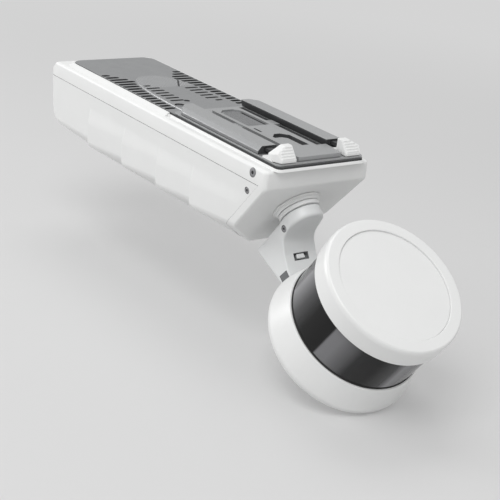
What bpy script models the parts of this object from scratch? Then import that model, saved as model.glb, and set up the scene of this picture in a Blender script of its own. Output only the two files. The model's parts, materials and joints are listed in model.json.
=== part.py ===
"""Handheld laser scanner: a long sensor body with a docking deck on top, and a turning head at the
nose that carries a spinning lidar in a smoked window.

Metres, +Z up, +Y towards the rear, +X to the right. The origin is the centre of the dock pad's flat
top, where a carrier clamps the scanner. The pieces are placed from three empties: the deck (its
gray top plate is Z = 0 and starts at Y = 0), the head axis on the slanted nose, and the puck axis.
"""

import math

import bmesh
import bpy
from mathutils import Matrix, Vector

MM = 0.001

# Clearances and general values
GAP = 0.3 * MM                  # between pieces that rest on each other
RUN = 0.4 * MM                  # round a piece that turns or slides
OVERRUN = 5 * MM                # how far a cutter reaches past what it cuts
WELD = 0.002 * MM
WALL = 2.5 * MM                 # moulded shells
FINE = 48                       # steps of a large turned piece
COARSE = 24                     # steps of a small one
ARC_STEPS = 3
DISH_STEPS = 5

# Body, seen from the front: half widths and heights below the deck
BODY_HALF = 45 * MM
CHINE_HALF = 42 * MM
KEEL_HALF = 11 * MM
SHELL_TOP = -2.9 * MM
SEAM_Z = -14.2 * MM
CHINE_Z = -52 * MM
KEEL_Z = -74 * MM
TOP_ROUND = 2 * MM
CHINE_ROUND = 6 * MM

# Body, seen from the side
NOSE_Y = 2 * MM                 # the short upright face of the nose
NOSE_BREAK_Z = -16 * MM         # where the nose turns under
HEAD_TILT = math.radians(40)    # slant of the nose face, and of the head's axis below level
NOSE_RIM = 6.6 * MM             # from the nose face back to the seam, along Y
REAR_Y = 291.5 * MM
REAR_TOP_Y = 279 * MM
REAR_LOW_Y = 282 * MM
REAR_KEEL_Y = 252 * MM
REAR_TOP_Z = -15 * MM
REAR_LOW_Z = -47 * MM
REAR_ROUND = 9 * MM
REAR_CORNER = 13 * MM           # rear corners, seen from above
NOSE_CORNER = 3 * MM

# Deck plate on top
LID_HALF = 37 * MM
LID_BACK = 268.4 * MM
LID_THICK = 1.7 * MM
LID_FRONT_ROUND = 3 * MM
LID_BACK_ROUND = 9 * MM
GASKET_THICK = 0.7 * MM
GASKET_WIDTH = 2.4 * MM
LEDGE_WIDTH = 5 * MM            # shell ledge under the gasket
GROOVE_DEPTH = 0.9 * MM
SLAT_PITCH = 6.3 * MM
SLAT_WIDTH = 2.4 * MM
OUTER_SLAT_IN = 25.5 * MM
OUTER_SLAT_OUT = 35.2 * MM
OUTER_SLAT_FIRST_Y = 134 * MM
OUTER_SLAT_COUNT = 14
OUTER_SLAT_CUT = 0.62           # how much a rear slat shortens for each step past the fifth last
INNER_SLAT_FIRST_Y = 148.5 * MM
INNER_SLAT_PITCH = 6.5 * MM
INNER_SLAT_COUNT = 7
INNER_SLAT_IN = 10.5 * MM
INNER_SLAT_OUT = 22.5 * MM
DECK_SCREW_X = -9 * MM
DECK_SCREW_Y = 146 * MM
DECK_SCREW_R = 2 * MM
DECK_PLUG_X = -21 * MM
DECK_PLUG_Y = 137 * MM
DECK_PLUG_R = 3.9 * MM
DECK_PLUG_THICK = 0.8 * MM
DECK_SCREW_THICK = 0.7 * MM

# Dock: plate, rails and pad
PLATE_HALF = 37 * MM
PLATE_FRONT = 0.6 * MM
PLATE_BACK = 122 * MM
PLATE_TOP = 1.5 * MM
PLATE_ROUND = 3 * MM
RAIL_FRONT = 23 * MM
RAIL_BACK = 121 * MM
RAIL_TOP = 7.1 * MM
RAIL_IN = 21.7 * MM
RAIL_UNDERCUT = 1.5 * MM
RAIL_LIP = 1.6 * MM
RAIL_OUT_LOW = 36.8 * MM
RAIL_OUT_HIGH = 34.2 * MM
RAIL_CORNER = 8 * MM
RAIL_FLANK = 2.2 * MM           # height of the upright flank under the slope
PAD_TOP = 4.5 * MM
PAD_HALF = 12.5 * MM
PAD_BACK = 112 * MM
PAD_ROUND = 4 * MM
CROSSBAR_HALF = 19.5 * MM
CROSSBAR_FRONT = 3 * MM
CROSSBAR_BACK = 22 * MM
CROSSBAR_SPLAY = 3 * MM
REAR_POCKET_HALF = 9.5 * MM
REAR_POCKET_FRONT = 70 * MM
REAR_POCKET_BACK = 108 * MM
FRONT_POCKET_HALF = 7.5 * MM
FRONT_POCKET_FRONT = 24 * MM
FRONT_POCKET_BACK = 50 * MM
POCKET_DEPTH = 1.4 * MM
DOCK_CENTRE_Y = 60 * MM

# Release tabs: ribbed thumb pieces that slide back against a spring in the rail
TAB_IN = 21.3 * MM
TAB_OUT = 37.4 * MM
TAB_FRONT = 1.4 * MM
TAB_BACK = 12 * MM
TAB_TOP = 11.6 * MM
TAB_LIP_Z = 3.6 * MM
TAB_CREST_Y = 8 * MM
TAB_CHAMFER = 3.4 * MM
TAB_SLOPE_IN = 28 * MM           # where the outer top corner starts to slope
TAB_SLOPE_Z = 6.5 * MM
TAB_FOOT_BACK = 17.3 * MM
TAB_FOOT_TOP = 3.1 * MM
TAB_X = 28.6 * MM
TONGUE_HALF = 2.4 * MM
TONGUE_LOW = 3.5 * MM
TONGUE_HIGH = 5.7 * MM
TONGUE_BACK = 28 * MM
POCKET_END = 46 * MM
SPRING_R = 1.0 * MM
SPRING_WIRE_R = 0.25 * MM
SPRING_TURNS = 9
SPRING_POINTS = 8

# Side screws
UPPER_SCREW_Y = 16 * MM
UPPER_SCREW_Z = -7.6 * MM
UPPER_SCREW_R = 2.9 * MM
LOWER_SCREW_Y = 20 * MM
LOWER_SCREW_Z = -21.4 * MM
LOWER_SCREW_R = 2.1 * MM
SCREW_THICK = 1.2 * MM
SCREW_SOCKET_R = 1.3 * MM
SCREW_SOCKET_DEPTH = 0.6 * MM
SCREW_SUNK = 1.5 * MM

# Head joint in the nose. Heights are along the head axis, from the nose face outwards
HUB_DROP = 27 * MM              # from the nose break down the face to the axis
FACE_HOLE_R = 9.6 * MM
COLLAR_R = 17.5 * MM
COLLAR_RIM_R = 15 * MM
COLLAR_THICK = 6.2 * MM
COLLAR_GROOVE_LOW = 3.2 * MM
COLLAR_GROOVE_HIGH = 4 * MM
COLLAR_GROOVE_R = 13.4 * MM
HOUSING_R = 16.5 * MM
HOUSING_BORE = 14 * MM
FLANGE_R = 21 * MM
FLANGE_THICK = 2.5 * MM
HOUSING_LIP_R = 9 * MM
HOUSING_DEPTH = 21.2 * MM        # from the flange's seat to the floor
HOUSING_FLOOR_THICK = 2 * MM
HOUSING_SKIRT = 5 * MM           # behind the floor, as the next depths are
HOUSING_RIM_BORE = 14.5 * MM
SHAFT_R = 6 * MM
SHAFT_BORE = 2.5 * MM
SHAFT_TAIL_R = 4.5 * MM
SHAFT_STEP = 4.4 * MM
SHAFT_TAIL = 9 * MM
SHAFT_SEAT = 9.5 * MM
BEARING_WIDTH = 4.6 * MM
MOTOR_LENGTH = 7 * MM
STATOR_BORE = 10.8 * MM
ENCODER_R = 13.5 * MM
ENCODER_THICK = 0.8 * MM
READER_IN = 7.5 * MM
READER_OUT = 13.5 * MM
READER_HALF = 3 * MM
SLIP_FLANGE_THICK = 2.2 * MM
SLIP_R = 8.5 * MM
SLIP_LENGTH = 13 * MM

# Arm, in the head's frame: across, up the face, and out along the axis
ARM_HALF = 14 * MM              # also the radius of its hub
ARM_HUB_FRONT = 16 * MM
ARM_NAPE_OUT = 7.3 * MM
ARM_ELBOW_DROP = 41.5 * MM
ARM_ELBOW_OUT = 10.8 * MM
ARM_SHOULDER_DROP = 5 * MM
ARM_SHOULDER_OUT = 16.4 * MM
ARM_BEND_DROP = 11.5 * MM
ARM_BEND_OUT = 18.7 * MM
ARM_BEND_ROUND = 8 * MM
ARM_RAMP_DROP = 16.5 * MM
ARM_RAMP_OUT = 28 * MM
ARM_NECK_DROP = 21 * MM
ARM_NECK_OUT = 43 * MM
ARM_TONGUE_DROP = 12 * MM
ARM_TIP_DROP = 26 * MM
ARM_TIP_OUT = 88 * MM
ARM_SOLE_DROP = 32 * MM
ARM_SOLE_OUT = 42.5 * MM
SLOT_HALF = 6.4 * MM
SLOT_NEAR = 28 * MM
SLOT_FAR = 33 * MM
SLOT_FLOOR_DROP = 20 * MM
ARM_PLATE_R = 26 * MM
ARM_PLATE_THICK = 5 * MM
ARM_SCREW_R = 2.2 * MM
ARM_SCREW_DROP = 6 * MM
ARM_SCREW_OUT = 13.4 * MM
DAMPER_NEAR = 37.6 * MM
DAMPER_FAR = 44 * MM
DAMPER_HIGH_DROP = 21.5 * MM
DAMPER_LOW_DROP = 30 * MM
DAMPER_THICK = 2.4 * MM

# Puck, in its own frame: heights from the bottom of the dish
PUCK_TILT = math.radians(35)
PUCK_OUT = 95.8 * MM            # from the nose face to the middle of the dish's bottom
PUCK_DROP = 21.6 * MM           # and below the head's axis
DISH_R = 54.3 * MM
DISH_BULGE_Z = 7.5 * MM
DISH_FOOT_R = 46.8 * MM
DISH_TOP_Z = 27.4 * MM
DISH_TOP_R = 49.6 * MM
DISH_FLARE_SHARE = 0.7          # how much of the flare the side has a third of the way up
DISH_WALL = 3 * MM
SEAL_THICK = 0.8 * MM
WINDOW_R = 48 * MM
WINDOW_WALL = 2.4 * MM
WINDOW_TOP_Z = 60.8 * MM
CAP_R = 50 * MM
CAP_WALL = 2.7 * MM
CAP_TOP_Z = 76.6 * MM
CAP_BEVEL = 2 * MM
CAP_FLOOR_Z = 75 * MM
CAP_FLOOR_THICK = 2.4 * MM
CAP_LAND = 5.4 * MM
DISC_R = 40.7 * MM
DISC_TOP_Z = 76.1 * MM
SPINDLE_R = 4 * MM
SPINDLE_FLANGE_R = 16 * MM
SPINDLE_FLANGE_THICK = 2.3 * MM
BOARD_R = 38 * MM
BOARD_THICK = 1.6 * MM
SPIN_COIL_IN = 8 * MM
SPIN_COIL_OUT = 18 * MM
SPIN_COIL_HEIGHT = 6 * MM
MAGNET_R = 21.5 * MM
MAGNET_HEIGHT = 7 * MM
TURRET_R = 35 * MM
TURRET_LOW_Z = 18 * MM
TURRET_HIGH_Z = 68 * MM
TURRET_FLAT = 26 * MM
TURRET_BORE = 9.4 * MM
SPIN_BEARING_LOW_Z = 20 * MM
SPIN_BEARING_HIGH_Z = 60 * MM
SPIN_BEARING_WIDTH = 5 * MM
LENS_R = 8.5 * MM
LENS_SPREAD = 12 * MM
LENS_Z = 44.5 * MM
LENS_SUNK = 2.2 * MM
LENS_THICK = 1.6 * MM

# Inside the body
SPREADER_HALF = 29 * MM
SPREADER_FRONT = 128 * MM
SPREADER_BACK = 250 * MM
SPREADER_THICK = 5 * MM
POST_R = 3 * MM
POST_LENGTH = 6 * MM
POST_INSET = 6 * MM
BOARD_HALF = 28 * MM
MODULE_GAP = GAP
STORAGE_SIZE = (22 * MM, 80 * MM, 3.6 * MM)
STORAGE_PLACE = (-14 * MM, 168 * MM)
MOTION_SIZE = (24 * MM, 24 * MM, 10 * MM)
MOTION_PLACE = (12 * MM, 146 * MM)
POWER_SIZE = (42 * MM, 30 * MM, 12 * MM)
POWER_PLACE = (0, 232 * MM)
WIRELESS_SIZE = (18 * MM, 26 * MM, 3 * MM)
WIRELESS_PLACE = (15 * MM, 184 * MM)

# Rear wall fittings, in the rear wall's frame
REAR_FIT_Z = -31 * MM
SOCKET_X = 23 * MM
SOCKET_FLANGE_R = 8.5 * MM
SOCKET_BODY_R = 6.5 * MM
SOCKET_OUT = 3 * MM
SOCKET_IN = 14 * MM
SOCKET_FLANGE_THICK = 1.5 * MM
SOCKET_RIM = 1.1 * MM
SOCKET_RECESS = 2.4 * MM
BEZEL_R = 7 * MM
BEZEL_BORE = 4.9 * MM
BEZEL_OUT = 0.8 * MM
BUTTON_R = 4.5 * MM
BUTTON_OUT = 1.2 * MM
BUTTON_TRAVEL = 1 * MM
BEZEL_IN = 7 * MM
BEZEL_FLOOR = 0.8 * MM

# How an outline drawn in (a, b) and thickened along c is turned into the frame it belongs to
ALONG_Z = Matrix.Identity(4)
ALONG_X = Matrix(((0, 0, 1, 0), (1, 0, 0, 0), (0, 1, 0, 0), (0, 0, 0, 1)))     # (a, b) is (Y, Z)
ALONG_Y = Matrix(((1, 0, 0, 0), (0, 0, -1, 0), (0, 1, 0, 0), (0, 0, 0, 1)))    # (a, b) is (X, Z)


# Scene, materials and objects

def clear_scene():
    for item in list(bpy.data.objects):
        bpy.data.objects.remove(item, do_unlink=True)


def new_collection(name):
    group = bpy.data.collections.new(name)
    bpy.context.scene.collection.children.link(group)
    return group


def finish(name, colour, roughness, metallic=0.0):
    """A Principled material in one colour."""
    material = bpy.data.materials.new(name)
    material.use_nodes = True
    shader = material.node_tree.nodes["Principled BSDF"]
    shader.inputs["Base Color"].default_value = (*colour, 1)
    shader.inputs["Roughness"].default_value = roughness
    shader.inputs["Metallic"].default_value = metallic
    return material


def empty(name, parent=None, location=(0, 0, 0), tilt=0.0):
    item = bpy.data.objects.new(name, None)
    item.empty_display_size = BODY_HALF
    item.location = location
    item.rotation_euler = (tilt, 0, 0)
    item.parent = parent
    PARTS.objects.link(item)
    return item


def place(name, mesh, parent, material=None, location=(0, 0, 0)):
    """Add a sub-part, or a cutter when it has no material."""
    item = bpy.data.objects.new(name, mesh)
    item.parent = parent
    item.location = location
    if material is None:
        CUTTERS.objects.link(item)
        item.hide_render = True
        item.display_type = "WIRE"
    else:
        PARTS.objects.link(item)
        mesh.materials.append(material)
    return item


def boolean(item, operation, tools):
    for tool in tools:
        modifier = item.modifiers.new(tool.name, "BOOLEAN")
        modifier.operation = operation
        modifier.object = tool
        modifier.solver = "EXACT"


def cut(item, *tools):
    boolean(item, "DIFFERENCE", tools)


def keep(item, *tools):
    boolean(item, "INTERSECT", tools)


def join(item, *tools):
    boolean(item, "UNION", tools)


# Meshes

def finished(bm, name, turn=ALONG_Z):
    bmesh.ops.remove_doubles(bm, verts=bm.verts, dist=WELD)
    bmesh.ops.recalc_face_normals(bm, faces=bm.faces)
    bm.transform(turn)
    mesh = bpy.data.meshes.new(name)
    bm.to_mesh(mesh)
    bm.free()
    mesh.shade_smooth()
    mesh.set_sharp_from_angle(angle=math.radians(30))
    return mesh


def box_mesh(low, high):
    bm = bmesh.new()
    size = [b - a for a, b in zip(low, high)]
    middle = [(a + b) / 2 for a, b in zip(low, high)]
    bmesh.ops.create_cube(bm, size=1, matrix=Matrix.Translation(middle) @ Matrix.Diagonal((*size, 1)))
    return finished(bm, "box")


def centred_box(middle, size):
    low = [m - s / 2 for m, s in zip(middle, size)]
    high = [m + s / 2 for m, s in zip(middle, size)]
    return box_mesh(low, high)


def rod_mesh(radius, low, high, steps=COARSE, turn=ALONG_Z):
    """A cylinder along the frame's Z from low to high, then turned."""
    bm = bmesh.new()
    bmesh.ops.create_cone(bm, cap_ends=True, segments=steps, radius1=radius, radius2=radius,
                          depth=high - low, matrix=Matrix.Translation((0, 0, (low + high) / 2)))
    return finished(bm, "rod", turn)


def prism_mesh(points, low, high, along):
    """A flat outline thickened from low to high along one axis."""
    curve = bpy.data.curves.new("outline", "CURVE")
    curve.dimensions = "2D"
    curve.fill_mode = "BOTH"
    curve.extrude = (high - low) / 2
    spline = curve.splines.new("POLY")
    spline.points.add(len(points) - 1)
    for point, (a, b) in zip(spline.points, points):
        point.co = (a, b, 0, 1)
    spline.use_cyclic_u = True
    holder = bpy.data.objects.new("outline", curve)
    bpy.context.scene.collection.objects.link(holder)
    evaluated = holder.evaluated_get(bpy.context.evaluated_depsgraph_get())
    flat = bpy.data.meshes.new_from_object(evaluated)
    bpy.data.objects.remove(holder, do_unlink=True)
    bm = bmesh.new()
    bm.from_mesh(flat)
    bpy.data.meshes.remove(flat)
    shift = (low + high) / 2
    if along is ALONG_Y:
        shift = -shift
    bm.transform(Matrix.Translation((0, 0, shift)))
    return finished(bm, "prism", along)


def turned(name, profile, parent, material=None, steps=FINE, closed=False, location=(0, 0, 0)):
    """A profile of (radius, height), from the top down its outer side, turned about the frame's Z."""
    bm = bmesh.new()
    verts = [bm.verts.new((r, 0, z)) for r, z in profile]
    pairs = list(zip(verts, verts[1:]))
    if closed:
        pairs.append((verts[-1], verts[0]))
    for pair in pairs:
        bm.edges.new(pair)
    mesh = bpy.data.meshes.new(name)
    bm.to_mesh(mesh)
    bm.free()
    item = place(name, mesh, parent, material, location)
    screw = item.modifiers.new("turn", "SCREW")
    screw.steps = steps
    screw.render_steps = steps
    screw.use_merge_vertices = True
    screw.merge_threshold = WELD
    return item


def ring(name, inner, outer, low, high, parent, material=None, steps=COARSE):
    profile = [(outer, high), (outer, low), (inner, low), (inner, high)]
    return turned(name, profile, parent, material, steps, closed=True)


# Outlines

def rounded(points, radii):
    """The outline with each corner of a positive radius replaced by a short arc."""
    result = []
    count = len(points)
    for i, (corner, radius) in enumerate(zip(points, radii)):
        here = Vector(corner)
        if radius <= 0:
            result.append(tuple(here))
            continue
        back = (Vector(points[i - 1]) - here).normalized()
        ahead = (Vector(points[(i + 1) % count]) - here).normalized()
        half = back.angle(ahead) / 2
        reach = radius / math.tan(half)
        centre = here + (back + ahead).normalized() * (radius / math.sin(half))
        start = here + back * reach - centre
        end = here + ahead * reach - centre
        for step in range(ARC_STEPS + 1):
            spoke = start.lerp(end, step / ARC_STEPS).normalized() * radius
            result.append(tuple(centre + spoke))
    return result


def inset(points, distance):
    """A convex outline moved inwards by a distance. Its points run anticlockwise."""
    lines = []
    for i, point in enumerate(points):
        here, there = Vector(point), Vector(points[(i + 1) % len(points)])
        along = (there - here).normalized()
        lines.append((here + Vector((-along.y, along.x)) * distance, along))
    result = []
    for i, (start, along) in enumerate(lines):
        before, direction = lines[i - 1]
        reach = (start - before).cross(along) / direction.cross(along)
        result.append(tuple(before + direction * reach))
    return result


def body_section(distance=0.0):
    """The body seen from the front, anticlockwise from the keel's right end."""
    points = [(-KEEL_HALF, KEEL_Z), (KEEL_HALF, KEEL_Z), (CHINE_HALF, CHINE_Z), (BODY_HALF, SEAM_Z),
              (BODY_HALF, SHELL_TOP), (-BODY_HALF, SHELL_TOP), (-BODY_HALF, SEAM_Z),
              (-CHINE_HALF, CHINE_Z)]
    radii = [CHINE_ROUND, CHINE_ROUND, CHINE_ROUND, 0, TOP_ROUND, TOP_ROUND, 0, CHINE_ROUND]
    return rounded(inset(points, distance), [max(r - distance, 0) for r in radii])


def nose_slant_y(z):
    """Where the slanted nose face stands at a height."""
    return NOSE_Y + (NOSE_BREAK_Z - z) * math.tan(HEAD_TILT)


def body_side(distance=0.0):
    """The body seen from the right, as (Y, Z), anticlockwise from the keel's front end."""
    points = [(nose_slant_y(KEEL_Z), KEEL_Z), (REAR_KEEL_Y, KEEL_Z), (REAR_LOW_Y, REAR_LOW_Z),
              (REAR_Y, REAR_TOP_Z), (REAR_TOP_Y, SHELL_TOP), (NOSE_Y, SHELL_TOP),
              (NOSE_Y, NOSE_BREAK_Z)]
    radii = [0, REAR_ROUND, REAR_ROUND, REAR_ROUND, REAR_ROUND, 0, 0]
    return rounded(inset(points, distance), [max(r - distance, 0) for r in radii])


def body_plan(distance=0.0):
    """The body seen from above, anticlockwise from the front left corner."""
    points = [(-BODY_HALF, NOSE_Y), (BODY_HALF, NOSE_Y), (BODY_HALF, REAR_Y), (-BODY_HALF, REAR_Y)]
    radii = [NOSE_CORNER, NOSE_CORNER, REAR_CORNER, REAR_CORNER]
    return rounded(inset(points, distance), [max(r - distance, 0) for r in radii])


def seam_line(shift):
    """The seam as (Y, Z) points from the rear to below the keel, moved down and back by a shift."""
    low = KEEL_Z - OVERRUN
    turn_y = NOSE_Y + NOSE_RIM
    low_y = turn_y + (SEAM_Z - low) * math.tan(HEAD_TILT)
    return [(REAR_Y + OVERRUN, SEAM_Z - shift), (turn_y + shift, SEAM_Z - shift),
            (low_y + shift, low)]


def plate_outline(half, front, back, front_round, back_round, distance=0.0):
    points = [(-half, front), (half, front), (half, back), (-half, back)]
    radii = [front_round, front_round, back_round, back_round]
    return rounded(inset(points, distance), [max(r - distance, 0) for r in radii])


# The body

def body_blank(name, material, distance=0.0):
    """The body's full outer shape, or the shape a wall inside it."""
    blank = place(name, prism_mesh(body_section(distance), NOSE_Y - OVERRUN, REAR_Y + OVERRUN, ALONG_Y),
                  DECK, material)
    reach = BODY_HALF + OVERRUN
    side = place(name + "_side", prism_mesh(body_side(distance), -reach, reach, ALONG_X), DECK)
    plan = place(name + "_plan", prism_mesh(body_plan(distance), KEEL_Z - OVERRUN, OVERRUN, ALONG_Z), DECK)
    keep(blank, side, plan)
    return blank


def screw_recess(name, x_side, y, z, radius, depth):
    """A round cutter in the side of the body."""
    skin = BODY_HALF if z > SEAM_Z else side_half(z)
    low, high = sorted((x_side * (skin - depth), x_side * (skin + OVERRUN)))
    mesh = rod_mesh(radius + GAP, low, high, turn=ALONG_X)
    return place(name, mesh, DECK, location=(0, y, z))


def side_half(z):
    """Half the body's width at a height between the seam and the chine."""
    return BODY_HALF + (SEAM_Z - z) / (SEAM_Z - CHINE_Z) * (CHINE_HALF - BODY_HALF)


def side_screw(name, x_side, y, z, radius):
    """A screw head sunk in the side, with its driver socket."""
    skin = BODY_HALF if z > SEAM_Z else side_half(z)
    face = skin - SCREW_SUNK + GAP + SCREW_THICK
    low, high = sorted((x_side * (face - SCREW_THICK), x_side * face))
    screw = place(name, rod_mesh(radius, low, high, steps=16, turn=ALONG_X), DECK, DARK_METAL,
                  location=(0, y, z))
    low, high = sorted((x_side * (face - SCREW_SOCKET_DEPTH), x_side * (face + OVERRUN)))
    cut(screw, place(name + "_socket", rod_mesh(SCREW_SOCKET_R, low, high, steps=6, turn=ALONG_X), DECK,
                     location=(0, y, z)))


def make_shells():
    """Upper shell with the nose, and the lower shell that hangs under it."""
    hollow = body_blank("body_hollow", None, WALL)
    upper = body_blank("upper_shell", WHITE_PLASTIC)
    lower = body_blank("lower_shell", WHITE_PLASTIC)
    reach = BODY_HALF + 2 * OVERRUN

    front = NOSE_Y - 2 * OVERRUN
    upper_side = seam_line(0) + [(front, KEEL_Z - OVERRUN), (front, OVERRUN),
                                 (REAR_Y + OVERRUN, OVERRUN)]
    lower_side = seam_line(GAP) + [(REAR_Y + OVERRUN, KEEL_Z - OVERRUN)]
    keep(upper, place("upper_half", prism_mesh(upper_side, -reach, reach, ALONG_X), DECK))
    keep(lower, place("lower_half", prism_mesh(lower_side, -reach, reach, ALONG_X), DECK))
    cut(upper, hollow)
    cut(lower, hollow)

    mouth = plate_outline(LID_HALF, 0, LID_BACK, LID_FRONT_ROUND, LID_BACK_ROUND, LEDGE_WIDTH)
    cut(upper, place("deck_mouth", prism_mesh(mouth, SHELL_TOP - WALL - OVERRUN, OVERRUN, ALONG_Z), DECK))
    cut(upper, place("face_hole", rod_mesh(FACE_HOLE_R, -WALL - OVERRUN, OVERRUN), HEAD))
    for word, x_side in (("left", -1), ("right", 1)):
        cut(upper, screw_recess(word + "_upper_recess", x_side, UPPER_SCREW_Y, UPPER_SCREW_Z,
                                UPPER_SCREW_R, SCREW_SUNK))
        cut(lower, screw_recess(word + "_lower_recess", x_side, LOWER_SCREW_Y, LOWER_SCREW_Z,
                                LOWER_SCREW_R, SCREW_SUNK))
        side_screw(word + "_upper_screw", x_side, UPPER_SCREW_Y, UPPER_SCREW_Z, UPPER_SCREW_R)
        side_screw(word + "_lower_screw", x_side, LOWER_SCREW_Y, LOWER_SCREW_Z, LOWER_SCREW_R)
    for name, x, radius in rear_fittings():
        hole = rod_mesh(radius + GAP, -WALL - OVERRUN, OVERRUN)
        cut(lower, place(name + "_hole", hole, REAR, location=(x, 0, 0)))


def rear_fittings():
    return (("power_socket", -SOCKET_X, SOCKET_BODY_R), ("data_socket", 0, SOCKET_BODY_R),
            ("button_bezel", SOCKET_X, BEZEL_R - SOCKET_FLANGE_THICK))


# The deck

def slat_cutter(name, x_low, x_high, y):
    mesh = box_mesh((x_low, y - SLAT_WIDTH / 2, -GROOVE_DEPTH), (x_high, y + SLAT_WIDTH / 2, OVERRUN))
    return place(name, mesh, DECK)


def make_deck():
    gasket_top = -LID_THICK - (abs(SHELL_TOP) - LID_THICK - GASKET_THICK) / 2
    outline = plate_outline(LID_HALF, 0, LID_BACK, LID_FRONT_ROUND, LID_BACK_ROUND)
    gasket = place("lid_gasket", prism_mesh(outline, gasket_top - GASKET_THICK, gasket_top, ALONG_Z),
                   DECK, BLACK_RUBBER)
    inner = plate_outline(LID_HALF, 0, LID_BACK, LID_FRONT_ROUND, LID_BACK_ROUND, GASKET_WIDTH)
    cut(gasket, place("gasket_mouth", prism_mesh(inner, SHELL_TOP, 0, ALONG_Z), DECK))

    lid = place("deck_lid", prism_mesh(outline, -LID_THICK, 0, ALONG_Z), DECK, GRAY_METAL)
    for side in (-1, 1):
        for i in range(OUTER_SLAT_COUNT):
            y = OUTER_SLAT_FIRST_Y + i * SLAT_PITCH
            taper = max(i - (OUTER_SLAT_COUNT - 5), 0) * OUTER_SLAT_CUT * SLAT_WIDTH
            low, high = sorted((side * (OUTER_SLAT_IN + taper), side * OUTER_SLAT_OUT))
            cut(lid, slat_cutter(f"outer_slat_{side}_{i}", low, high, y))
        for i in range(INNER_SLAT_COUNT):
            y = INNER_SLAT_FIRST_Y + i * INNER_SLAT_PITCH
            low, high = sorted((side * INNER_SLAT_IN, side * INNER_SLAT_OUT))
            cut(lid, slat_cutter(f"inner_slat_{side}_{i}", low, high, y))
    for name, x, y, radius, thick, material in (
            ("deck_screw", DECK_SCREW_X, DECK_SCREW_Y, DECK_SCREW_R, DECK_SCREW_THICK, DARK_METAL),
            ("deck_plug", DECK_PLUG_X, DECK_PLUG_Y, DECK_PLUG_R, DECK_PLUG_THICK, GRAY_METAL)):
        cut(lid, place(name + "_seat", rod_mesh(radius + GAP, -thick - GAP, OVERRUN, steps=16), DECK,
                       location=(x, y, 0)))
        place(name, rod_mesh(radius, -thick, 0, steps=16), DECK, material, location=(x, y, 0))


def make_dock():
    outline = plate_outline(PLATE_HALF, PLATE_FRONT, PLATE_BACK, PLATE_ROUND, PLATE_ROUND)
    place("dock_plate", prism_mesh(outline, GAP, PLATE_TOP, ALONG_Z), DECK, GRAY_METAL)
    base = PLATE_TOP + GAP

    for word, side in (("left", -1), ("right", 1)):
        section = [(RAIL_IN + RAIL_UNDERCUT, base), (RAIL_OUT_LOW, base),
                   (RAIL_OUT_LOW, base + RAIL_FLANK), (RAIL_OUT_HIGH, RAIL_TOP), (RAIL_IN, RAIL_TOP),
                   (RAIL_IN, RAIL_TOP - RAIL_LIP)]
        section = [(side * x, z) for x, z in section]
        rail = place(word + "_rail", prism_mesh(section, RAIL_FRONT, RAIL_BACK, ALONG_Y), DECK, GRAY_METAL)
        plan = [(RAIL_IN - OVERRUN, RAIL_FRONT - OVERRUN), (RAIL_OUT_LOW + OVERRUN, RAIL_FRONT - OVERRUN),
                (RAIL_OUT_LOW + OVERRUN, RAIL_BACK - RAIL_CORNER - OVERRUN),
                (RAIL_OUT_LOW - RAIL_CORNER, RAIL_BACK), (RAIL_OUT_LOW - RAIL_CORNER, RAIL_BACK + OVERRUN),
                (RAIL_IN - OVERRUN, RAIL_BACK + OVERRUN)]
        plan = [(side * x, y) for x, y in plan]
        keep(rail, place(word + "_rail_plan", prism_mesh(plan, 0, RAIL_TOP + OVERRUN, ALONG_Z), DECK))
        low, high = sorted((side * (TAB_X - TONGUE_HALF - RUN), side * (TAB_X + TONGUE_HALF + RUN)))
        pocket = box_mesh((low, RAIL_FRONT - OVERRUN, TONGUE_LOW - RUN),
                          (high, POCKET_END, TONGUE_HIGH + RUN))
        cut(rail, place(word + "_spring_pocket", pocket, DECK))

    front_half = CROSSBAR_HALF - CROSSBAR_SPLAY
    bar = [(-front_half, CROSSBAR_FRONT), (front_half, CROSSBAR_FRONT),
           (CROSSBAR_HALF, CROSSBAR_BACK), (PAD_HALF, CROSSBAR_BACK), (PAD_HALF, PAD_BACK),
           (-PAD_HALF, PAD_BACK), (-PAD_HALF, CROSSBAR_BACK), (-CROSSBAR_HALF, CROSSBAR_BACK)]
    bar = rounded(bar, [0, 0, 0, 0, PAD_ROUND, PAD_ROUND, 0, 0])
    pad = place("dock_pad", prism_mesh(bar, base, PAD_TOP, ALONG_Z), DECK, GRAY_METAL)
    for name, half, front, back in (
            ("rear_pocket", REAR_POCKET_HALF, REAR_POCKET_FRONT, REAR_POCKET_BACK),
            ("front_pocket", FRONT_POCKET_HALF, FRONT_POCKET_FRONT, FRONT_POCKET_BACK)):
        pocket = box_mesh((-half, front, PAD_TOP - POCKET_DEPTH), (half, back, PAD_TOP + OVERRUN))
        cut(pad, place(name, pocket, DECK))


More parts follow.
